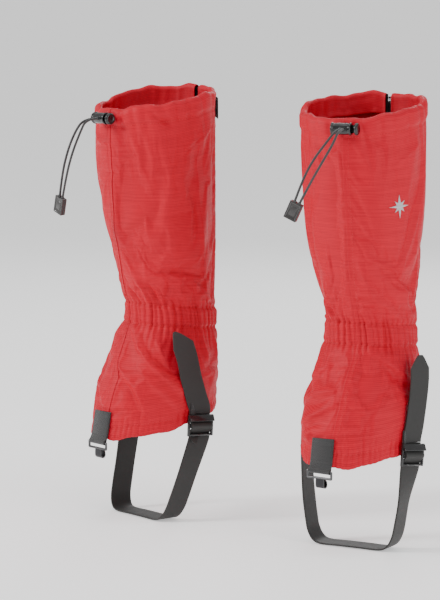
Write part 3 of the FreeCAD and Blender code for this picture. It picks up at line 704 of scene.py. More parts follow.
def woven(name, deep, bright, roughness, threads, ribs, depth, **plain):
    """A woven finish: its threads' tone and relief from the shared weave."""
    material = finish(name, bright, roughness, **plain)
    nodes, links = material.node_tree.nodes, material.node_tree.links
    weave = nodes.new("ShaderNodeGroup")
    weave.node_tree = WEAVE
    weave.inputs["Threads"].default_value = 2 * math.pi * threads
    weave.inputs["Ribs"].default_value = 2 * math.pi * ribs
    tone = scale_to(nodes, links, weave.outputs["Tone"], 0.0, 1.0, 0.15, 0.85)
    shader = nodes["Principled BSDF"].inputs
    links.new(two_tones(nodes, links, tone, deep, bright), shader["Base Color"])
    links.new(scale_to(nodes, links, weave.outputs["Tone"], roughness + 0.08, roughness - 0.04),
              shader["Roughness"])
    relief(material, weave.outputs["Height"], 0.5, depth)
    return material


red_cloth = woven("red_nylon", (0.44, 0.0006, 0.012), (0.64, 0.0012, 0.022), 0.50, 1800.0, 520.0,
                  0.00006, Specular_IOR_Level=0.22)

COLUMNS = 150
ROWS = 226
RIM_ROLL = 4.4
RIM_FACING = 21.0
HEM_ROLL = 1.4
HEM_FACING = 12.0
CLOTH = 0.0006


def run_of_cloth(run):
    """Height and inward offset at a run in mm up the cut cloth, through both turned-in edges."""
    hem_arc, rim_arc = math.pi * HEM_ROLL, math.pi * RIM_ROLL
    straight = RIM - HEM - HEM_ROLL - RIM_ROLL
    marks = np.cumsum([0, HEM_FACING, hem_arc, straight, rim_arc, RIM_FACING])
    hem_turn = np.clip((run - marks[1]) / hem_arc, 0, 1) * math.pi
    rim_turn = np.clip((run - marks[3]) / rim_arc, 0, 1) * math.pi
    height = (HEM + HEM_ROLL + np.clip(marks[1] - run, 0, None) - HEM_ROLL * np.sin(hem_turn)
              + np.clip(run - marks[2], 0, straight) + RIM_ROLL * np.sin(rim_turn)
              - np.clip(run - marks[4], 0, None))
    inner = HEM_ROLL * (1 + np.cos(hem_turn)) + RIM_ROLL * (1 - np.cos(rim_turn))
    inner = np.where(run > marks[4], 2 * RIM_ROLL, inner)
    return height, inner, marks[-1]


def angle_beside(side, distance, height):
    """The angle a distance in mm from the back's middle line."""
    wide = np.interp(height, LEVELS, SECTION_TABLE[:, 0])
    return np.degrees(np.arcsin(distance / wide))


def cut_panel(side, plus, lap):
    """One panel's cloth, from the zip's edge to the front seam, which it passes by the lap."""
    shape = bmesh.new()
    bmesh.ops.create_grid(shape, x_segments=COLUMNS, y_segments=ROWS, size=1.0)
    shape.verts.index_update()
    flat = np.array([v.co for v in shape.verts])
    across, level = (flat[:, 0] + 1) / 2, (flat[:, 1] + 1) / 2
    total = run_of_cloth(0.0 * level)[2]
    height, inner, _ = run_of_cloth(level * total)
    start = angle_beside(side, 4.6, height)
    seam = seam_at(side, height) + (lap if plus else -lap)
    if not plus:
        start = 360.0 - start
    angle = start + (seam - start) * across
    rolled = np.clip(1 - across * COLUMNS / 3.0, 0, 1)
    inner = inner + 1.5 * rolled**2
    inner = inner - (0.75 if lap else 0.0) * np.exp(-((1 - across) * 160 / 6.0) ** 2)
    place = cloth_place(side, angle, height, inner, np.where(inner > 3.0, 0.55, 1.0))
    for v, p in zip(shape.verts, place):
        v.co = p
    layer = shape.loops.layers.uv.new("cloth")
    arc = (angle - 180.0) * 1.18 * MM
    for face in shape.faces:
        for loop in face.loops:
            i = loop.vert.index
            loop[layer].uv = (arc[i], level[i] * total * MM)
    shape.normal_update()
    shape.faces.ensure_lookup_table()
    probe = shape.faces[len(shape.faces) // 2]
    middle = Vector((LEGS[side]["sign"] * LEG_SPACING / 2 * MM, 0, probe.calc_center_median().z))
    if (probe.calc_center_median() - middle).dot(probe.normal) < 0:
        bmesh.ops.reverse_faces(shape, faces=shape.faces)
    return shape, height, inner, across


def settle(piece, held):
    """Lets the panel's cloth relax a little fuller than it was cut, held where it is sewn."""
    group = piece.vertex_groups.new(name="held")
    for i, weight in enumerate(held):
        if weight > 0.01:
            group.add([i], float(weight), "REPLACE")
    before = np.array([v.co for v in piece.data.vertices])
    cloth = piece.modifiers.new("settle", "CLOTH")
    cloth.settings.quality = 5
    cloth.settings.mass = 0.12
    cloth.settings.tension_stiffness = 60
    cloth.settings.compression_stiffness = 40
    cloth.settings.shear_stiffness = 12
    cloth.settings.bending_stiffness = 0.12
    cloth.settings.air_damping = 6
    cloth.settings.vertex_group_mass = "held"
    cloth.settings.shrink_min = -0.018
    cloth.settings.effector_weights.gravity = 0.15
    cloth.collision_settings.use_collision = False
    cloth.point_cache.frame_start = 1
    cloth.point_cache.frame_end = 14
    scene = bpy.context.scene
    for step in range(1, 15):
        scene.frame_set(step)
        bpy.context.view_layer.update()
    settled = piece.evaluated_get(bpy.context.evaluated_depsgraph_get()).to_mesh()
    after = np.array([v.co for v in settled.vertices])
    moved = after - before
    far = np.linalg.norm(moved, axis=1)
    moved *= (np.minimum(far, 0.005) / np.maximum(far, 1e-9))[:, None]
    piece.modifiers.remove(cloth)
    piece.vertex_groups.remove(group)
    scene.frame_set(1)
    for v, p in zip(piece.data.vertices, before + moved):
        v.co = p


CLOTHS = {}
for side, leg in LEGS.items():
    faces = []
    for name, plus in (("outer_panel", side == "left"), ("inner_panel", side != "left")):
        shape, height, inner, across = cut_panel(side, plus, 3.2 if name == "outer_panel" else 0.0)
        piece = save_mesh(f"{side}_{name}_cloth", shape, red_cloth)
        held = np.maximum.reduce([
            window(height, 244, 276, 5), window(height, HEM - 9, HEM + 16, 5),
            window(height, RIM - 30, RIM + 9, 10), window(across, -1, 0.12, 0.06),
            window(across, 0.985, 2, 0.02), np.float64(inner > 1.0),
            window(height, HEM, HEM + 54, 8) * window(across, 0.30, 0.72, 0.06),
        ])
        settle(piece, held)
        copy = bmesh.new()
        copy.from_mesh(piece.data)
        faces.append(copy)
        wall = piece.modifiers.new("thickness", "SOLIDIFY")
        wall.thickness = CLOTH
        wall.offset = -1.0
        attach(piece, side + "_gaiter")
        if name == "outer_panel":
            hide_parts(f"{side}_{name}", side + "_rim_facing")
        else:
            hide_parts(f"{side}_{name}")
    CLOTHS[side] = [BVHTree.FromBMesh(shape) for shape in faces]


def on_cloth(side, angles, heights, proud=0.0):
    """Places and outward directions on the settled cloth near some angles and heights."""
    guesses = cloth_place(side, np.array(angles, float), np.array(heights, float))
    spots = []
    for guess in guesses:
        hits = [tree.find_nearest(Vector(guess)) for tree in CLOTHS[side]]
        found = min(hits, key=lambda hit: hit[3])
        place, normal = found[0], found[1]
        axis = Vector((LEGS[side]["sign"] * LEG_SPACING / 2 * MM, 0, place.z))
        if normal.dot(place - axis) < 0:
            normal = -normal
        spots.append((place + normal * proud * MM, normal))
    return spots


# ---- Stitching -----------------------------------------------------------------------------
# Polyester thread in the cloth's red holds the front lap, both edges of the ankle channel, the
# hem's casing, the rim's channel and the zip. Each stitch is one short rounded bar in the cloth.
STITCH = 2.5
STITCH_GAP = 1.1
THREAD = 0.26
thread_red = woven("red_thread", (0.46, 0.002, 0.008), (0.68, 0.006, 0.018), 0.5, 4000.0, 900.0,
                   0.00003)
thread_rows = {side: [] for side in LEGS}
for side in LEGS:
    rows = thread_rows[side]
    rows.append([(float(seam_at(side, h)), h) for h in np.arange(HEM + 4, RIM - 3, 0.9)])
    rows.append([(float(seam_at(side, h)) - 2.6 * (1 if side == "left" else -1), h)
                 for h in np.arange(HEM + 4, RIM - 3, 0.9)])
    for level in (247.0, 273.0, HEM + 13.5, RIM - 23.5):
        rows.append([(a, level) for a in np.arange(9.0, 351.0, 0.8)])
    for offset in (8.0, 352.0):
        rows.append([(offset, h) for h in np.arange(HEM + 5, RIM - 4, 0.9)])


def seat_along(start, end, out):
    """Axes at the middle of a run: X across it, Y away from the cloth, Z along it."""
    heading = (end - start).normalized()
    across = out.cross(heading).normalized()
    up = heading.cross(across)
    middle = (start + end) / 2
    return Matrix((
        (across.x, up.x, heading.x, middle.x), (across.y, up.y, heading.y, middle.y),
        (across.z, up.z, heading.z, middle.z), (0, 0, 0, 1),
    ))


def stamp(shape, template, seat, size):
    """Copies a small template bmesh into a shape, scaled and placed."""
    new = [shape.verts.new(seat @ Vector(a * b for a, b in zip(v.co, size))) for v in template.verts]
    for face in template.faces:
        shape.faces.new([new[v.index] for v in face.verts])


grain = bmesh.new()
bmesh.ops.create_icosphere(grain, subdivisions=1, radius=1.0)
grain.verts.index_update()
for side, rows in thread_rows.items():
    thread = bmesh.new()
    for row in rows:
        spots = on_cloth(side, [a for a, _ in row], [h for _, h in row], 0.10)
        reach = [0.0]
        for (p, _), (q, _) in zip(spots, spots[1:]):
            reach.append(reach[-1] + (q - p).length / MM)
        at = 1.0
        while at + STITCH < reach[-1]:
            i = int(np.searchsorted(reach, at))
            j = min(int(np.searchsorted(reach, at + STITCH)), len(spots) - 1)
            (start, normal), (end, _) = spots[i], spots[j]
            run = (end - start).length
            if 0.4 * STITCH * MM < run < 3 * STITCH * MM:
                stamp(thread, grain, seat_along(start, end, normal), (THREAD * MM, THREAD * MM, run / 2))
            at += STITCH + STITCH_GAP
    piece = save_mesh(side + "_stitching", thread, thread_red)
    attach(piece, side + "_gaiter")

# ---- Elastic inside the gathers ------------------------------------------------------------
# A flat woven elastic lies inside the ankle channel and another in the hem's casing. They are
# black polyester over rubber, stretched as they were sewn, so they pucker with the cloth.
elastic_black = woven("woven_elastic", (0.010, 0.010, 0.011), (0.035, 0.035, 0.036), 0.7, 900.0,
                      700.0, 0.00015, Sheen_Weight=0.2)


def inner_sheet(side, low, high, first, last, inside, rows, columns, depth):
    """A sheet that follows the cloth at a distance inside it, with its UV map in metres."""
    shape = bmesh.new()
    bmesh.ops.create_grid(shape, x_segments=columns, y_segments=rows, size=1.0)
    shape.verts.index_update()
    flat = np.array([v.co for v in shape.verts])
    angle = first + (last - first) * (flat[:, 0] + 1) / 2
    height = low + (high - low) * (flat[:, 1] + 1) / 2
    place = skin(side, angle, height, lift(side, angle, height) * depth - inside)
    for v, p in zip(shape.verts, place):
        v.co = p
    layer = shape.loops.layers.uv.new("cloth")
    for face in shape.faces:
        for loop in face.loops:
            i = loop.vert.index
            loop[layer].uv = ((angle[i] - 180) * 1.18 * MM, height[i] * MM)
    bmesh.ops.reverse_faces(shape, faces=shape.faces)
    return shape


def thicken(piece, thickness, offset=-1.0, edge=0.0):
    """Gives a sheet its wall, with its edges eased."""
    wall = piece.modifiers.new("thickness", "SOLIDIFY")
    wall.thickness = thickness
    wall.offset = offset
    if edge:
        ease = piece.modifiers.new("eased_edges", "BEVEL")
        ease.width = edge
        ease.segments = 2
        ease.limit_method = "ANGLE"
    return piece


for side in LEGS:
    for name, low, high, inside in (("ankle_elastic", 248.0, 272.0, 2.6),
                                    ("hem_elastic", HEM + 3, HEM + 12, 1.3)):
        band = save_mesh(f"{side}_{name}_band",
                         inner_sheet(side, low, high, 16.0, 344.0, inside, 8, 200, 0.8), elastic_black)
        thicken(band, 0.0009)
        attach(band, side + "_gaiter")
        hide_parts(f"{side}_{name}")

# ---- Draft flap ----------------------------------------------------------------------------
# A strip of the same red nylon hangs behind the zip and keeps snow out of it; its colour is darkened
# as painted shade. It is stitched down one side only, so it lies loose and ripples a little.
# The sleeve's red nylon, darkened as painted shade for the flap behind the zip.
nylon_painted_shade = woven("red_lining", (0.32, 0.001, 0.005), (0.46, 0.002, 0.010), 0.55, 1800.0, 520.0,
               0.00005, Specular_IOR_Level=0.22)
for side in LEGS:
    flap = bmesh.new()
    bmesh.ops.create_grid(flap, x_segments=12, y_segments=120, size=1.0)
    flap.verts.index_update()
    flat = np.array([v.co for v in flap.verts])
    angle = 13.0 * flat[:, 0]
    height = 322.0 + 178.0 * flat[:, 1]
    ripple = 0.7 * np.sin(height / 17.0) * (flat[:, 0] + 1) / 2 + 0.4 * np.sin(height / 6.0) * flat[:, 0]
    layer = flap.loops.layers.uv.new("cloth")
    for v, p in zip(flap.verts, skin(side, angle, height, ripple - 6.2)):
        v.co = p
    for face in flap.faces:
        for loop in face.loops:
            i = loop.vert.index
            loop[layer].uv = (angle[i] * 1.3 * MM, height[i] * MM)
    bmesh.ops.reverse_faces(flap, faces=flap.faces)
    piece = thicken(save_mesh(side + "_draft_flap_cloth", flap, nylon_painted_shade), CLOTH)
    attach(piece, side + "_gaiter")
    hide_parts(side + "_draft_flap")

# ---- Drawcord in the rim -------------------------------------------------------------------
# The elastic cord runs round inside the rim's channel. Both ends turn out through the grommet at
# the front and pass through the barrel lock before they hang free.
EYELET_LEVEL = 526.0
LOCK_SEAM = {"left": 169.0, "right": 180.0}


def seat_at(side, angle, height, upright):
    """Axes on the sleeve's face in metres: X along it, -Y out of it, Z up."""
    here = Vector(skin(side, angle, height, 0.0))
    along = Vector(skin(side, angle - 0.5, height, 0.0) - skin(side, angle + 0.5, height, 0.0))
    up = Vector(skin(side, angle, height + 2.0, 0.0) - skin(side, angle, height - 2.0, 0.0))
    along.z = 0.0
    along.normalize()
    up = Vector((0, 0, 1)) if upright else up
    inward = up.cross(along).normalized()
    up = along.cross(inward)
    return Matrix((
        (along.x, inward.x, up.x, here.x), (along.y, inward.y, up.y, here.y),
        (along.z, inward.z, up.z, here.z), (0, 0, 0, 1),
    ))


for side in LEGS:
    front = seat_at(side, LOCK_SEAM[side], EYELET_LEVEL, True)
    pieces = []
    for k, (turn, x) in enumerate(((-1, 0.00165), (1, -0.00165))):
        ring = [skin(side, LOCK_SEAM[side] + turn * a, EYELET_LEVEL, -4.9) for a in
                (165, 150, 135, 120, 105, 90, 75, 60, 45, 30, 16, 7)]
        route = [tuple(p) for p in ring]
        route += [tuple(front @ Vector((x, y, 0))) for y in (0.002, -0.003, -0.010, -0.0182)]
        pieces.append(braided(f"{side}_channel_cord_{k}",
                              mesh_of(cord_curve(f"{side}_ring_{k}", route, CORD)), cord_black))
    for piece in pieces:
        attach(piece, side + "_gaiter")
    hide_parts(side + "_drawcord")

# ---- Grommet and barrel lock ---------------------------------------------------------------
# A moulded grommet lines the hole in the rim. The barrel lock is a flanged black barrel with a
# sprung plunger pushed in from one end, and both cords run through the hole across the two.
LOCK_OUT = -0.0088
TO_FACE = Matrix.Rotation(math.radians(-90), 3, "Z")


def turned(shape, profile, axis_y, segments=40):
    """A closed round part from a profile of (along X, radius), spun about its axis."""
    ring = [shape.verts.new((x, axis_y, r)) for x, r in profile]
    edges = [shape.edges.new(pair) for pair in zip(ring, ring[1:])]
    made = bmesh.ops.spin(shape, geom=ring + edges, cent=(0, axis_y, 0), axis=(1, 0, 0), dvec=(0, 0, 0),
                          angle=2 * math.pi, steps=segments, use_merge=True, use_duplicate=False)
    bmesh.ops.remove_doubles(shape, verts=shape.verts, dist=1e-6)
    bmesh.ops.recalc_face_normals(shape, faces=shape.faces)
    return made


def mms(*pairs):
    """Profile points given in mm."""
    return [(x * MM, r * MM) for x, r in pairs]


spring_steel = moulded("spring_steel", (0.42, 0.42, 0.43), (0.6, 0.6, 0.6), 0.25, 0.4, 900.0,
                       0.00003)
spring_steel.node_tree.nodes["Principled BSDF"].inputs["Metallic"].default_value = 1.0
matt_black = moulded("matt_black_plastic", (0.010, 0.010, 0.011), (0.06, 0.06, 0.06), 0.45, 0.62,
                     1500.0, 0.00008)
for side in LEGS:
    front = seat_at(side, LOCK_SEAM[side], EYELET_LEVEL, True)
    grommet = bmesh.new()
    turned(grommet, mms((-0.9, 2.9), (-0.9, 6.6), (-0.2, 7.0), (0.5, 6.6), (0.9, 5.2), (0.9, 3.6),
                        (0.4, 2.9), (-0.9, 2.9)), 0.0, 36)
    bmesh.ops.rotate(grommet, verts=grommet.verts, cent=(0, 0, 0), matrix=TO_FACE)
    bmesh.ops.transform(grommet, verts=grommet.verts, matrix=front)
    piece = save_mesh(side + "_grommet", grommet, matt_black)
    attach(piece, side + "_gaiter")
    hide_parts(side + "_cord_eyelet")

    barrel = bmesh.new()
    turned(barrel, mms((-15.5, 0), (-15.5, 4.6), (-15.1, 5.0), (-14.7, 5.0), (-14.5, 5.4), (-14.9, 6.6),
                       (-14.6, 7.3), (-13.8, 7.6), (-13.0, 7.6), (-12.4, 7.3), (-12.1, 6.8), (-11.6, 6.6),
                       (-9.0, 6.85), (-3.0, 7.0), (3.0, 6.95), (6.4, 6.7), (7.0, 6.8), (7.4, 7.4),
                       (8.0, 7.6), (9.2, 7.6), (9.8, 7.3), (10.0, 6.8), (9.9, 5.6), (9.4, 5.1),
                       (4.0, 5.0), (4.0, 0)), LOCK_OUT)
    for x in (-1.65, 1.65):
        collar = bmesh.new()
        turned(collar, mms((6.2, 1.55), (6.2, 2.7), (6.9, 2.9), (7.4, 2.6), (7.5, 2.0), (7.2, 1.55),
                           (6.2, 1.55)), 0.0, 20)
        bmesh.ops.rotate(collar, verts=collar.verts, cent=(0, 0, 0), matrix=TO_FACE)
        bmesh.ops.translate(collar, verts=collar.verts, vec=(x * MM, LOCK_OUT, 0))
        extra = bpy.data.meshes.new("collar")
        collar.to_mesh(extra)
        barrel.from_mesh(extra)
        collar.free()
    bmesh.ops.transform(barrel, verts=barrel.verts, matrix=front)
    piece = save_mesh(side + "_lock_barrel", barrel, gloss_black)
    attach(piece, side + "_cord_lock")
    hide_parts(side + "_cord_lock_body")

    plunger = bmesh.new()
    turned(plunger, mms((4.2, 0), (4.2, 4.7), (4.6, 4.9), (14.1, 4.9), (14.4, 5.4), (14.4, 6.6),
                        (14.8, 7.1), (15.6, 7.2), (17.0, 7.1), (17.6, 6.9), (18.2, 6.3), (18.7, 5.2),
                        (18.6, 4.4), (18.3, 3.6), (18.3, 0)), LOCK_OUT)
    for k in range(24):
        made = bmesh.ops.create_cube(plunger, size=1.0)["verts"]
        bmesh.ops.scale(plunger, verts=made, vec=(0.0022, 0.0008, 0.0008))
        bmesh.ops.translate(plunger, verts=made, vec=(0.0163, LOCK_OUT, 0.0069))
        bmesh.ops.rotate(plunger, verts=made, cent=(0, LOCK_OUT, 0),
                         matrix=Matrix.Rotation(2 * math.pi * k / 24, 3, "X"))
    bmesh.ops.transform(plunger, verts=plunger.verts, matrix=front)
    piece = save_mesh(side + "_lock_button", plunger, gloss_black)
    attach(piece, side + "_lock_plunger")
    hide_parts(side + "_cord_lock_plunger")

    spring = bmesh.new()
    made = bmesh.ops.create_circle(spring, segments=8, radius=0.00035)["verts"]
    bmesh.ops.translate(spring, verts=made, vec=(-0.0128, LOCK_OUT, 0))
    bmesh.ops.rotate(spring, verts=made, cent=(-0.0128, LOCK_OUT, 0),
                     matrix=Matrix.Rotation(math.pi / 2, 3, "X"))
    bmesh.ops.translate(spring, verts=made, vec=(0, 0, 0.0037))
    bmesh.ops.spin(spring, geom=made + list(spring.edges), cent=(0, LOCK_OUT, 0), axis=(1, 0, 0),
                   dvec=(0.0052 / 96, 0, 0), angle=8 * math.pi, steps=96, use_duplicate=False)
    bmesh.ops.holes_fill(spring, edges=[e for e in spring.edges if e.is_boundary], sides=8)
    bmesh.ops.recalc_face_normals(spring, faces=spring.faces)
    bmesh.ops.transform(spring, verts=spring.verts, matrix=front)
    piece = save_mesh(side + "_lock_coil", spring, spring_steel)
    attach(piece, side + "_cord_lock")
    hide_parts(side + "_cord_lock_spring")

# ---- Buckle and instep strap ---------------------------------------------------------------
# A moulded ladder buckle hangs from a loop of webbing sewn on the hem. The strap is charcoal
# rubber-coated webbing: sewn on the far side, under the boot, and back up through the buckle.
WEBBING = 30.0
STRAP_THICK = 1.8
BUCKLE_OUT = 7.6
BUCKLES = {
    "left": {"y": -13.0, "arch": -19.0, "turn": -6.0,
             "tail": [(0, 0, 0), (0.0, 0.0, 6.0), (0.3, -2.0, 20.0), (0.4, -4.0, 45.0),
                      (0.4, -5.0, 72.0), (0.4, -3.4, 90.0), (0.0, -2.6, 106.0)], "tip": (2.4, 3.2)},
    "right": {"y": 11.0, "arch": -21.0, "turn": -3.0,
              "tail": [(0, 0, 0), (0.0, 0.0, 6.0), (1.4, 6.5, 20.0), (3.4, 16.5, 45.0),
                       (4.0, 24.0, 70.0), (4.0, 31.0, 88.0), (5.0, 40.0, 108.0)], "tip": (8.0, -5.0)},
}
strap_black = moulded("rubber_coated_strap", (0.011, 0.0105, 0.0095), (0.032, 0.030, 0.028), 0.5, 0.64,
                      2600.0, 0.00022, Sheen_Weight=0.05)


def buckle_seat(side):
    """The buckle's axes in metres: X out of the cloth, Y along its bars, Z up, at its middle bar."""
    facts = BUCKLES[side]
    deep = SECTION_TABLE[0][1]
    angle = math.degrees(math.acos((facts["y"] - BACK - SHIN_LEAN + deep) / deep))
    face = seat_at(side, angle, HEM, True)
    out = -Vector((face[0][1], face[1][1], face[2][1]))
    sign = LEGS[side]["sign"]
    local = math.atan2(out.y, out.x) - sign * TOE_OUT
    here = face @ Vector((0, -BUCKLE_OUT * MM, -0.004))
    turn = (Matrix.Rotation(sign * TOE_OUT, 4, "Z") @ Matrix.Rotation(local - math.radians(15), 4, "Z")
            @ Matrix.Rotation(math.radians(facts["turn"]), 4, "X"))
    return Matrix.Translation(here) @ turn, angle


def between(points, spots):
    """Smooth values between rows of numbers, at spots counted in rows."""
    rows = np.array(points, float)
    found = []
    for t in spots:
        i = min(int(t), len(rows) - 2)
        f = t - i
        a, b = rows[i], rows[i + 1]
        before, after = rows[max(i - 1, 0)], rows[min(i + 2, len(rows) - 1)]
        found.append(0.5 * (2 * a + (b - before) * f + (2 * before - 5 * a + 4 * b - after) * f**2
                            + (3 * a - before - 3 * b + after) * f**3))
    return np.array(found)


def band(path, sides, widths, columns=8, per_row=5):
    """A flat strip along a smooth path in metres, reaching a width in mm to either side of it."""
    shape = bmesh.new()
    rows = (len(path) - 1) * per_row
    bmesh.ops.create_grid(shape, x_segments=columns, y_segments=rows, size=1.0)
    shape.verts.index_update()
    spots = np.linspace(0, len(path) - 1, rows + 1)
    line, across = between(path, spots), between(sides, spots)
    reach = np.stack([np.interp(spots, range(len(path)), [w[k] for w in widths]) for k in (0, 1)], 1)
    run = np.concatenate([[0], np.cumsum(np.linalg.norm(np.diff(line, axis=0), axis=1))])
    layer = shape.loops.layers.uv.new("cloth")
    flat = np.array([v.co for v in shape.verts])
    row = np.rint((flat[:, 1] + 1) / 2 * rows).astype(int)
    share = (flat[:, 0] + 1) / 2
    offset = (-reach[row, 0] * (1 - share) + reach[row, 1] * share) * MM
    ahead = np.gradient(line, axis=0)
    across = across - ahead * (np.sum(across * ahead, 1) / np.sum(ahead * ahead, 1))[:, None]
    across /= np.linalg.norm(across, axis=1)[:, None]
    for v, p in zip(shape.verts, line[row] + across[row] * offset[:, None]):
        v.co = p
    for face in shape.faces:
        for loop in face.loops:
            i = loop.vert.index
            loop[layer].uv = (offset[i], run[row[i]])
    return shape


for side in LEGS:
    facts = BUCKLES[side]
    seat, buckle_angle = buckle_seat(side)
    along = seat.to_3x3() @ Vector((0, 1, 0))
    sign = LEGS[side]["sign"]

    def in_buckle(x, y, z):
        return seat @ Vector((x * MM, y * MM, z * MM))

    half = WEBBING / 2
    threaded = ((-2.95, 15.0), (-2.95, 11.0), (0.6, 6.0), (4.3, 1.6), (4.3, -1.6), (0.6, -6.0),
                (-2.95, -11.5), (-3.1, -18.0))
    path = [in_buckle(x, 0, z) for x, z in threaded]
    sides = [along] * len(path)
    foot = Matrix.Translation((sign * LEG_SPACING / 2 * MM, sign * LEG_STAGGER / 2 * MM, 0)) @ Matrix.Rotation(
        sign * TOE_OUT, 4, "Z")
    top = foot.inverted() @ path[-1] / MM
    down = [(65.5, 62.0), (60.5, 30.0), (57.0, 15.5), (50.5, 5.2), (40.0, 0.9), (13.0, 0.9)]
    under = [(x, z) for x, z in down] + [(-x, z) for x, z in reversed(down)]
    arch = facts["arch"]
    path += [foot @ Vector((x * MM, (arch + (top.y - arch) * z / top.z) * MM, z * MM)) for x, z in under]
    sides += [foot.to_3x3() @ Vector((0, 1, 0))] * len(under)
    for height in (HEM - 8.0, HEM + 1.0, HEM + 24.0):
        face = seat_at(side, 360.0 - buckle_angle, max(height, HEM), True)
        path.append(face @ Vector((0, -2.5 * MM, min(height - HEM, 0.0) * MM)))
        sides.append(-(face.to_3x3() @ Vector((1, 0, 0))))
    strap = save_mesh(side + "_strap_webbing",
                      band(path, sides, [(half, half)] * len(path), 8, 6), strap_black)
    thicken(strap, STRAP_THICK * MM, 0.0, 0.0004)
    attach(strap, side + "_gaiter")
    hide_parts(side + "_instep_strap")

    offsets = facts["tail"]
    path = [in_buckle(-2.95 + out, -forward, 15.2 + up) for out, forward, up in offsets]
    left_tip, right_tip = facts["tip"]
    widths = [(half, half)] * (len(path) - 1) + [(left_tip, right_tip)]
    tail = save_mesh(side + "_strap_end", band(path, [along] * len(path), widths, 8, 9), strap_black)
    thicken(tail, STRAP_THICK * MM, 0.0, 0.0004)
    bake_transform(tail)
    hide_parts(side + "_strap_tail")

    # The buckle: two rails, three bars and a raised lip over the top bar.
    frame_shape = bmesh.new()
    wide = half + 3.6
    for y in (-wide, wide - 3.0):
        rail = block(frame_shape, Vector((-1.9, y, -13.7)) * MM, Vector((1.9, y + 3.0, 13.7)) * MM)
        soften(frame_shape, rail, 0.0009, 3)
    for z, r, push in ((-12.0, 1.7, 0.0), (0.0, 1.5, 0.0), (12.0, 1.9, 0.0)):
        made = bmesh.ops.create_cone(frame_shape, cap_ends=True, segments=24, radius1=r * MM, radius2=r * MM,
                                     depth=2 * (wide - 1.0) * MM, matrix=Matrix.Translation((push, 0, z * MM))
                                     @ Matrix.Rotation(math.pi / 2, 4, "X"))["verts"]
        bmesh.ops.scale(frame_shape, verts=made, vec=(1.15, 1, 1))
    lip = block(frame_shape, Vector((0.6, -wide + 0.4, 4.6)) * MM, Vector((2.4, wide - 0.4, 13.4)) * MM)
    bmesh.ops.rotate(frame_shape, verts=lip, cent=Vector((1.0, 0, 13.0)) * MM,
                     matrix=Matrix.Rotation(math.radians(-26), 3, "Y"))
    soften(frame_shape, lip, 0.0007, 3)
    bmesh.ops.transform(frame_shape, verts=frame_shape.verts, matrix=seat)
    piece = save_mesh(side + "_ladder_buckle", frame_shape, gloss_black)
    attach(piece, side + "_gaiter")
    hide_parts(side + "_buckle_frame")

# ---- Webbing loops and patches -------------------------------------------------------------
# Ribbed black nylon webbing holds the buckle to the hem, backs the strap's sewn end, and folds
# round the lace hook's bar at the front. The patch and the tab are sewn flat on the cloth with a boxed stitch.
ribbed = woven("ribbed_webbing", (0.003, 0.003, 0.0035), (0.020, 0.0195, 0.0195), 0.62, 1100.0, 560.0,
               0.00035, Sheen_Weight=0.25)
thread_black = woven("black_thread", (0.012, 0.012, 0.012), (0.05, 0.05, 0.05), 0.55, 4000.0, 900.0,
                     0.00003)


def sewing(shape, corners, lift_off):
    """Stitches along straight runs between corners, each given as a place and its outward side."""
    for (start, out), (end, _) in zip(corners, corners[1:]):
        along = end - start
        count = max(1, int(along.length / 0.0030))
        for k in range(count):
            first, last = start.lerp(end, k / count), start.lerp(end, (k + 0.7) / count)
            seat = seat_along(first, last, out)
            stamp(shape, grain, Matrix.Translation(out * lift_off) @ seat, (0.0003, 0.00025, 0.0011))


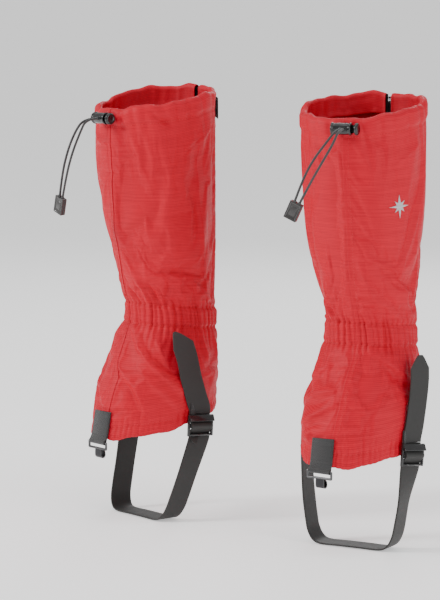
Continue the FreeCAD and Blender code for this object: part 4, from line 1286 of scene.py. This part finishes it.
for side in LEGS:
    seat, buckle_angle = buckle_seat(side)
    along = seat.to_3x3() @ Vector((0, 1, 0))
    black_stitches = bmesh.new()

    # Loop round the buckle's middle bar, its two layers sewn up the hem
    face = seat_at(side, buckle_angle, HEM, True)
    wrap = ((-3.4, 2.6), (-2.1, 1.9), (-0.5, 2.35), (1.6, 1.7), (2.4, 0.0), (1.6, -1.7), (0.0, -2.4),
            (-1.7, -1.9))
    low = [seat @ Vector((x * MM, 0, z * MM)) for x, z in wrap]
    high = [Vector(skin(side, buckle_angle - 0.5, h, out)) for h, out in ((HEM + 24, 1.4), (HEM + 14, 1.4),
                                                                          (HEM + 4, 1.6))]
    path = high + low + [Vector(skin(side, buckle_angle - 0.5, h, out)) for h, out in
                         ((HEM + 0.5, 2.2), (HEM + 4, 2.9), (HEM + 14, 2.8), (HEM + 24, 2.7))]
    cloth_along = face.to_3x3() @ Vector((-1, 0, 0))
    sides = [cloth_along] * 3 + [along] * len(low) + [cloth_along] * 4
    loop = save_mesh(side + "_buckle_webbing", band(path, sides, [(15.0, 15.0)] * len(path), 8, 5), ribbed)
    thicken(loop, 0.0011, 0.0, 0.0003)
    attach(loop, side + "_gaiter")
    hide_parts(side + "_buckle_loop")

    # Patch behind the strap's sewn end
    far_angle = 360.0 - buckle_angle
    path = [Vector(skin(side, far_angle, h, 1.15)) for h in (HEM + 1, HEM + 9, HEM + 17, HEM + 25)]
    face = seat_at(side, far_angle, HEM + 12, True)
    patch = save_mesh(side + "_anchor_webbing",
                      band(path, [face.to_3x3() @ Vector((1, 0, 0))] * 4, [(11.5, 11.5)] * 4, 8, 4), ribbed)
    thicken(patch, 0.0008, 0.0, 0.0002)
    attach(patch, side + "_gaiter")
    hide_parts(side + "_strap_anchor")
    corners = []
    for a, h in ((-7, 3), (7, 3), (7, 21), (-7, 21), (-7, 3), (7, 21)):
        place = Vector(skin(side, far_angle + a, HEM + h, 3.4))
        corners.append((place, face.to_3x3() @ Vector((0, -1, 0))))
    sewing(black_stitches, corners, 0.0002)

    # Tab folded round the lace hook's bar
    hook = LEGS[side]["hook"]
    lower = seat_at(side, hook, HEM, False)
    fold = lower @ Vector((0, -1.8 * MM, -3.6 * MM))
    out = lower.to_3x3() @ Vector((0, -1, 0))
    up = lower.to_3x3() @ Vector((0, 0, 1))
    wrap = [fold + (out * math.cos(t) - up * math.sin(t)) * 2.25 * MM for t in
            [math.radians(d) for d in (140, 110, 80, 50, 20, -10, -40)]]
    path = [Vector(skin(side, hook, HEM + h, 1.3)) for h in (29, 20, 10, 3)] + [p for p in wrap]
    path += [Vector(skin(side, hook, HEM + h, o)) for h, o in ((1.5, 2.7), (10, 2.5), (20, 2.4), (29, 2.3))]
    flat_along = lower.to_3x3() @ Vector((1, 0, 0))
    shape = band(path, [flat_along] * len(path), [(15.8, 15.8)] * len(path), 10, 4)
    middle = Vector(skin(side, hook, HEM + 15, 0.0))
    for v in shape.verts:
        offset = (v.co - middle).dot(flat_along) / MM
        v.co -= out * (offset**2 / (2 * 58.0)) * MM * window(v.co.z / MM, 112.0, 200.0, 8.0)
    tab = thicken(save_mesh(side + "_lace_tab_webbing", shape, ribbed), 0.0011, 0.0, 0.0003)
    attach(tab, side + "_gaiter")
    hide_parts(side + "_hook_tab")
    corners = []
    for a, h in ((-11, 4), (11, 4), (11, 27), (-11, 27), (-11, 4)):
        corners.append((Vector(skin(side, hook + a, HEM + h, 3.0)), out))
    sewing(black_stitches, corners, 0.0001)
    piece = save_mesh(side + "_black_stitching", black_stitches, thread_black)
    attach(piece, side + "_gaiter")

# ---- Lace hook -----------------------------------------------------------------------------
# A bent wire frame turns in the webbing's fold and carries a flat steel hook for the bootlace.
# Both are steel with a dark coating, lightened on the bends by wear together with a painted highlight.
hook_steel = moulded("coated_hook_steel", (0.045, 0.045, 0.048), (0.35, 0.35, 0.35), 0.28, 0.5,
                     1200.0, 0.00004)
hook_steel.node_tree.nodes["Principled BSDF"].inputs["Metallic"].default_value = 1.0
for side in LEGS:
    hook = LEGS[side]["hook"]
    tilted, level = seat_at(side, hook, HEM, False), seat_at(side, hook, HEM, True)
    origin = tilted @ Vector((0, -1.8 * MM, -3.6 * MM))
    seat = level.copy()
    seat.translation = origin
    ring = [
        (-17.6, 0, 0), (0, 0, 0), (16.0, 0, 0), (17.6, 0, 0), (17.6, 0, -1.6), (17.6, 0, -6.4),
        (17.6, 0, -8.0), (16.0, 0, -8.0), (0, 0, -8.0), (-16.0, 0, -8.0), (-17.6, 0, -8.0),
        (-17.6, 0, -6.4), (-17.6, 0, -1.6), (-17.6, 0, 0), (-16.0, 0, 0),
    ]
    wire = bmesh.new()
    loop_mesh = mesh_of(cord_curve(side + "_wire", [tuple(Vector(p) * MM) for p in ring], 0.003))
    wire.from_mesh(loop_mesh)
    bend = [Vector((0, 4 - 4 * math.cos(t), -17 - 4 * math.sin(t))) for t in np.linspace(0, math.pi, 7)]
    shank = [Vector((0, 0, -7.0)), Vector((0, 0, -12.0))]
    points = shank + bend + [Vector((0, 8, -13.5)), Vector((0, 8, -10.5))]
    widths = [(5.0, 5.0), (6.0, 6.0)] + [(6.0, 6.0)] * len(bend) + [(5.6, 5.6), (2.6, 2.6)]
    plate = band([p * MM for p in points], [Vector((1, 0, 0))] * len(points), widths, 6, 3)
    bmesh.ops.recalc_face_normals(plate, faces=plate.faces)
    bmesh.ops.solidify(plate, geom=plate.faces[:], thickness=0.0015)
    extra = bpy.data.meshes.new("plate")
    plate.to_mesh(extra)
    plate.free()
    wire.from_mesh(extra)
    bmesh.ops.transform(wire, verts=wire.verts, matrix=seat)
    piece = save_mesh(side + "_boot_hook", wire, hook_steel)
    ease = piece.modifiers.new("eased_edges", "BEVEL")
    ease.width = 0.0003
    ease.segments = 2
    ease.limit_method = "ANGLE"
    ease.angle_limit = math.radians(50)
    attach(piece, side + "_lace_hook")
    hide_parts(side + "_lace_hook")

# ---- Zip -----------------------------------------------------------------------------------
# A coil zip closes the back. Its two polyester tapes are sewn under the panels' edges, and the
# coil's loops are sewn on the tapes and mesh together up the middle.
tape_cloth = woven("zip_tape_cloth", (0.010, 0.010, 0.011), (0.030, 0.030, 0.031), 0.75, 1500.0,
                   700.0, 0.00008, Sheen_Weight=0.15)
coil_black = moulded("zip_coil_nylon", (0.014, 0.014, 0.015), (0.08, 0.08, 0.08), 0.30, 0.5, 3000.0,
                     0.00002)
ZIP_PITCH = 1.6


def at_back(side):
    """Axes on the leaning back line in metres, level with the rim: X across, Y out, Z up it."""
    sign = LEGS[side]["sign"]
    return (Matrix.Translation((sign * LEG_SPACING / 2 * MM, sign * LEG_STAGGER / 2 * MM, 0))
            @ Matrix.Rotation(sign * TOE_OUT, 4, "Z") @ Matrix.Translation((0, BACK * MM, RIM * MM))
            @ Matrix.Rotation(math.atan(SHIN_LEAN / (RIM - HEM)), 4, "X")
            @ Matrix.Translation((0, 0, -RIM * MM)))


link = bmesh.new()
bmesh.ops.create_cube(link, size=2.0)
soften(link, link.verts[:], 0.45, 1)
link.verts.index_update()
for side in LEGS:
    tapes = bmesh.new()
    layer = tapes.loops.layers.uv.new("cloth")
    for hand in (-1, 1):
        made = bmesh.ops.create_grid(tapes, x_segments=4, y_segments=150, size=1.0)["verts"]
        height = np.array([HEM + 4 + (RIM - HEM - 8) * (v.co.y + 1) / 2 for v in made])
        reach = np.array([3.5 + 11.6 * (v.co.x + 1) / 2 for v in made])
        angle = hand * angle_beside(side, reach, height)
        for v, p, r, h in zip(made, skin(side, angle, height, -2.55), reach, height):
            v.co = p
            for loop in v.link_loops:
                loop[layer].uv = (hand * r * MM, h * MM)
    bmesh.ops.recalc_face_normals(tapes, faces=tapes.faces)
    bmesh.ops.solidify(tapes, geom=tapes.faces[:], thickness=0.0005)
    piece = save_mesh(side + "_zip_tape_cloth", tapes, tape_cloth)
    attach(piece, side + "_gaiter")
    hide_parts(side + "_zip_tapes")

    back = at_back(side)
    chain = bmesh.new()
    for k in range(int(400 / ZIP_PITCH)):
        for hand in (-1, 1):
            height = 141.5 + ZIP_PITCH * (k + (0.5 if hand > 0 else 0.0))
            seat = back @ Matrix.Translation(Vector((hand * 1.45, -1.7, height)) * MM)
            stamp(chain, link, seat, (0.00165, 0.0012, 0.00052))
    bmesh.ops.recalc_face_normals(chain, faces=chain.faces)
    piece = save_mesh(side + "_zip_coil", chain, coil_black)
    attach(piece, side + "_gaiter")
    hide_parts(side + "_zip_chain")

# ---- Zip stops, slider and puller ----------------------------------------------------------
# Small moulded stops end the coil. The slider is coated die-cast metal: two plates over the coil
# with ears that hold the puller's pin. The puller is moulded with finger ribs.
slider_steel = moulded("coated_slider", (0.030, 0.030, 0.032), (0.30, 0.30, 0.30), 0.25, 0.45,
                       1400.0, 0.00004, Metallic=1.0)
for side in LEGS:
    back = at_back(side)
    slider = bmesh.new()
    for low, high, radius in (
        ((-4.3, -0.2, 492.0), (4.3, 1.0, 508.0), 0.5), ((-4.3, -4.3, 492.0), (4.3, -3.2, 508.0), 0.4),
        ((-0.8, -3.4, 504.0), (0.8, 0.0, 507.5), 0.2), ((-3.6, 0.5, 500.6), (-2.6, 4.6, 505.4), 0.3),
        ((2.6, 0.5, 500.6), (3.6, 4.6, 505.4), 0.3),
    ):
        soften(slider, block(slider, Vector(low) * MM, Vector(high) * MM), radius * MM, 2)
    pin = Matrix.Translation(Vector((0, 3.3, 503.0)) * MM) @ Matrix.Rotation(math.pi / 2, 4, "Y")
    bmesh.ops.create_cone(slider, cap_ends=True, segments=16, radius1=0.001, radius2=0.001,
                          depth=0.0072, matrix=pin)
    bmesh.ops.transform(slider, verts=slider.verts, matrix=back)
    stops = bmesh.new()
    for low, high in (((-4.2, -2.9, 136.0), (4.2, -0.5, 141.0)), ((-3.1, -2.9, 541.0), (-0.6, -0.5, 544.0)),
                      ((0.6, -2.9, 541.0), (3.1, -0.5, 544.0))):
        soften(stops, block(stops, Vector(low) * MM, Vector(high) * MM), 0.0004, 2)
    bmesh.ops.transform(stops, verts=stops.verts, matrix=back)
    piece = save_mesh(side + "_end_stops", stops, slider_steel)
    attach(piece, side + "_gaiter")
    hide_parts(side + "_zip_stops")
    piece = save_mesh(side + "_slider_body", slider, slider_steel)
    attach(piece, side + "_zip_slider")
    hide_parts(side + "_zip_slider")

    puller = bmesh.new()
    for low, high, radius in (
        ((-2.3, 2.2, 491.0), (2.3, 4.4, 504.9), 0.6), ((-4.5, 2.1, 463.0), (4.5, 4.5, 492.5), 0.9),
    ):
        soften(puller, block(puller, Vector(low) * MM, Vector(high) * MM), radius * MM, 3)
    for k in range(7):
        rise = 3.2 * k
        rib = block(puller, Vector((-3.4, 4.2, 466.0 + rise)) * MM, Vector((3.4, 4.9, 467.4 + rise)) * MM)
        soften(puller, rib, 0.0003, 2)
    bmesh.ops.transform(puller, verts=puller.verts, matrix=back)
    piece = save_mesh(side + "_puller_grip", puller, matt_black)
    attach(piece, side + "_zip_puller")
    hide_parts(side + "_zip_puller")

# ---- Closure tab ---------------------------------------------------------------------------
# A tab of ribbed black webbing, sewn down at one end, laps over the top of the zip. Hook tape on its inner
# face presses on loop tape sewn to the panel beside the zip.
hook_loop = moulded("hook_and_loop", (0.008, 0.008, 0.009), (0.05, 0.05, 0.05), 0.85, 0.97, 3600.0, 0.0006,
                    Sheen_Weight=0.5)
TAB_HINGE = -15.0
TAB_END = 43.0


def flat_on_skin(side, first, last, low, high, out, thickness, columns, rows, round_end=0.0):
    """A solid pad between two angles and heights at a distance out of the cloth."""
    shape = bmesh.new()
    bmesh.ops.create_grid(shape, x_segments=columns, y_segments=rows, size=1.0)
    layer = shape.loops.layers.uv.new("cloth")
    shape.verts.index_update()
    flat = np.array([v.co for v in shape.verts])
    share, rise = (flat[:, 0] + 1) / 2, flat[:, 1]
    half = (high - low) / 2
    ease = np.clip((share - 1 + round_end) / max(round_end, 1e-6), 0, 1)
    rise = rise * (1 - (1 - np.sqrt(np.clip(1 - ease**2 * 0.75, 0, 1))))
    angle = first + (last - first) * share
    height = (low + high) / 2 + half * rise
    for v, p in zip(shape.verts, skin(side, angle, height, out)):
        v.co = p
    for face in shape.faces:
        for loop in face.loops:
            i = loop.vert.index
            loop[layer].uv = (angle[i] * 1.2 * MM, height[i] * MM)
    axis = Vector((LEGS[side]["sign"] * LEG_SPACING / 2 * MM, 0, shape.verts[:][0].co.z))
    shape.faces.ensure_lookup_table()
    shape.normal_update()
    if shape.faces[0].normal.dot(shape.faces[0].calc_center_median() - axis) < 0:
        bmesh.ops.reverse_faces(shape, faces=shape.faces)
    bmesh.ops.solidify(shape, geom=shape.faces[:], thickness=thickness * MM)
    return shape


for side, leg in LEGS.items():
    m = leg["medial"]
    piece = save_mesh(side + "_closure_cloth",
                      flat_on_skin(side, TAB_HINGE * m, TAB_END * m, 499.0, 524.0, 3.5, 1.25, 44, 14,
                                   0.14), ribbed)
    start = skin(side, TAB_HINGE * m, 511.5, 2.9)
    end = skin(side, (TAB_HINGE + 11.0) * m, 511.5, 2.9)
    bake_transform(piece)
    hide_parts(side + "_closure_tab")
    for name, out, thick, body, node in (("loop_pad", 1.0, 0.65, "_gaiter", "_tab_loop_patch"),
                                         ("hook_pad", 2.1, 0.7, "_closure_tab", "_tab_hook_patch")):
        pad = save_mesh(f"{side}_{name}",
                        flat_on_skin(side, 12.0 * m, 36.0 * m, 501.0, 522.0, out, thick, 20, 12),
                        hook_loop)
        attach(pad, side + body)
        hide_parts(side + node)

# ---- Emblem --------------------------------------------------------------------------------
# A plain eight-pointed compass star is embroidered in light grey satin stitch on the outer side
# of each sleeve. It stands about half a millimetre proud of the cloth.
EMBLEM_LEVEL = 422.0
satin = woven("satin_thread", (0.34, 0.34, 0.35), (0.62, 0.62, 0.63), 0.38, 2600.0, 1300.0, 0.00012,
              Sheen_Weight=0.2)
for side in LEGS:
    centre = 119.0 if side == "left" else 241.0
    star = bmesh.new()
    rim = []
    for k in range(16):
        turn = math.pi * k / 8
        far = (15.0, 4.4, 10.0, 4.4)[k % 4]
        rim.append(star.verts.new((far * math.sin(turn), far * math.cos(turn), 0)))
    hub = star.verts.new((0, 0, 0))
    for a, b in zip(rim, rim[1:] + rim[:1]):
        star.faces.new((hub, b, a))
    bmesh.ops.subdivide_edges(star, edges=star.edges, cuts=3, use_grid_fill=True)
    step = skin(side, centre + 1, EMBLEM_LEVEL, 0) - skin(side, centre, EMBLEM_LEVEL, 0)
    per_degree = float(np.linalg.norm(step)) / MM
    layer = star.loops.layers.uv.new("cloth")
    for face in star.faces:
        for loop in face.loops:
            loop[layer].uv = (loop.vert.co.x * MM, loop.vert.co.y * MM)
    spots = on_cloth(side, [centre + v.co.x / per_degree for v in star.verts],
                     [EMBLEM_LEVEL + v.co.y for v in star.verts], 0.05)
    outward = on_cloth(side, [centre], [EMBLEM_LEVEL])[0][1]
    for v, (place, normal) in zip(star.verts, spots):
        v.co = place
    star.normal_update()
    star.faces.ensure_lookup_table()
    if star.faces[0].normal.dot(outward) < 0:
        bmesh.ops.reverse_faces(star, faces=star.faces)
    piece = save_mesh(side + "_compass_star", star, satin)
    thicken(piece, 0.0005, 1.0)
    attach(piece, side + "_gaiter")
    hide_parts(side + "_emblem")
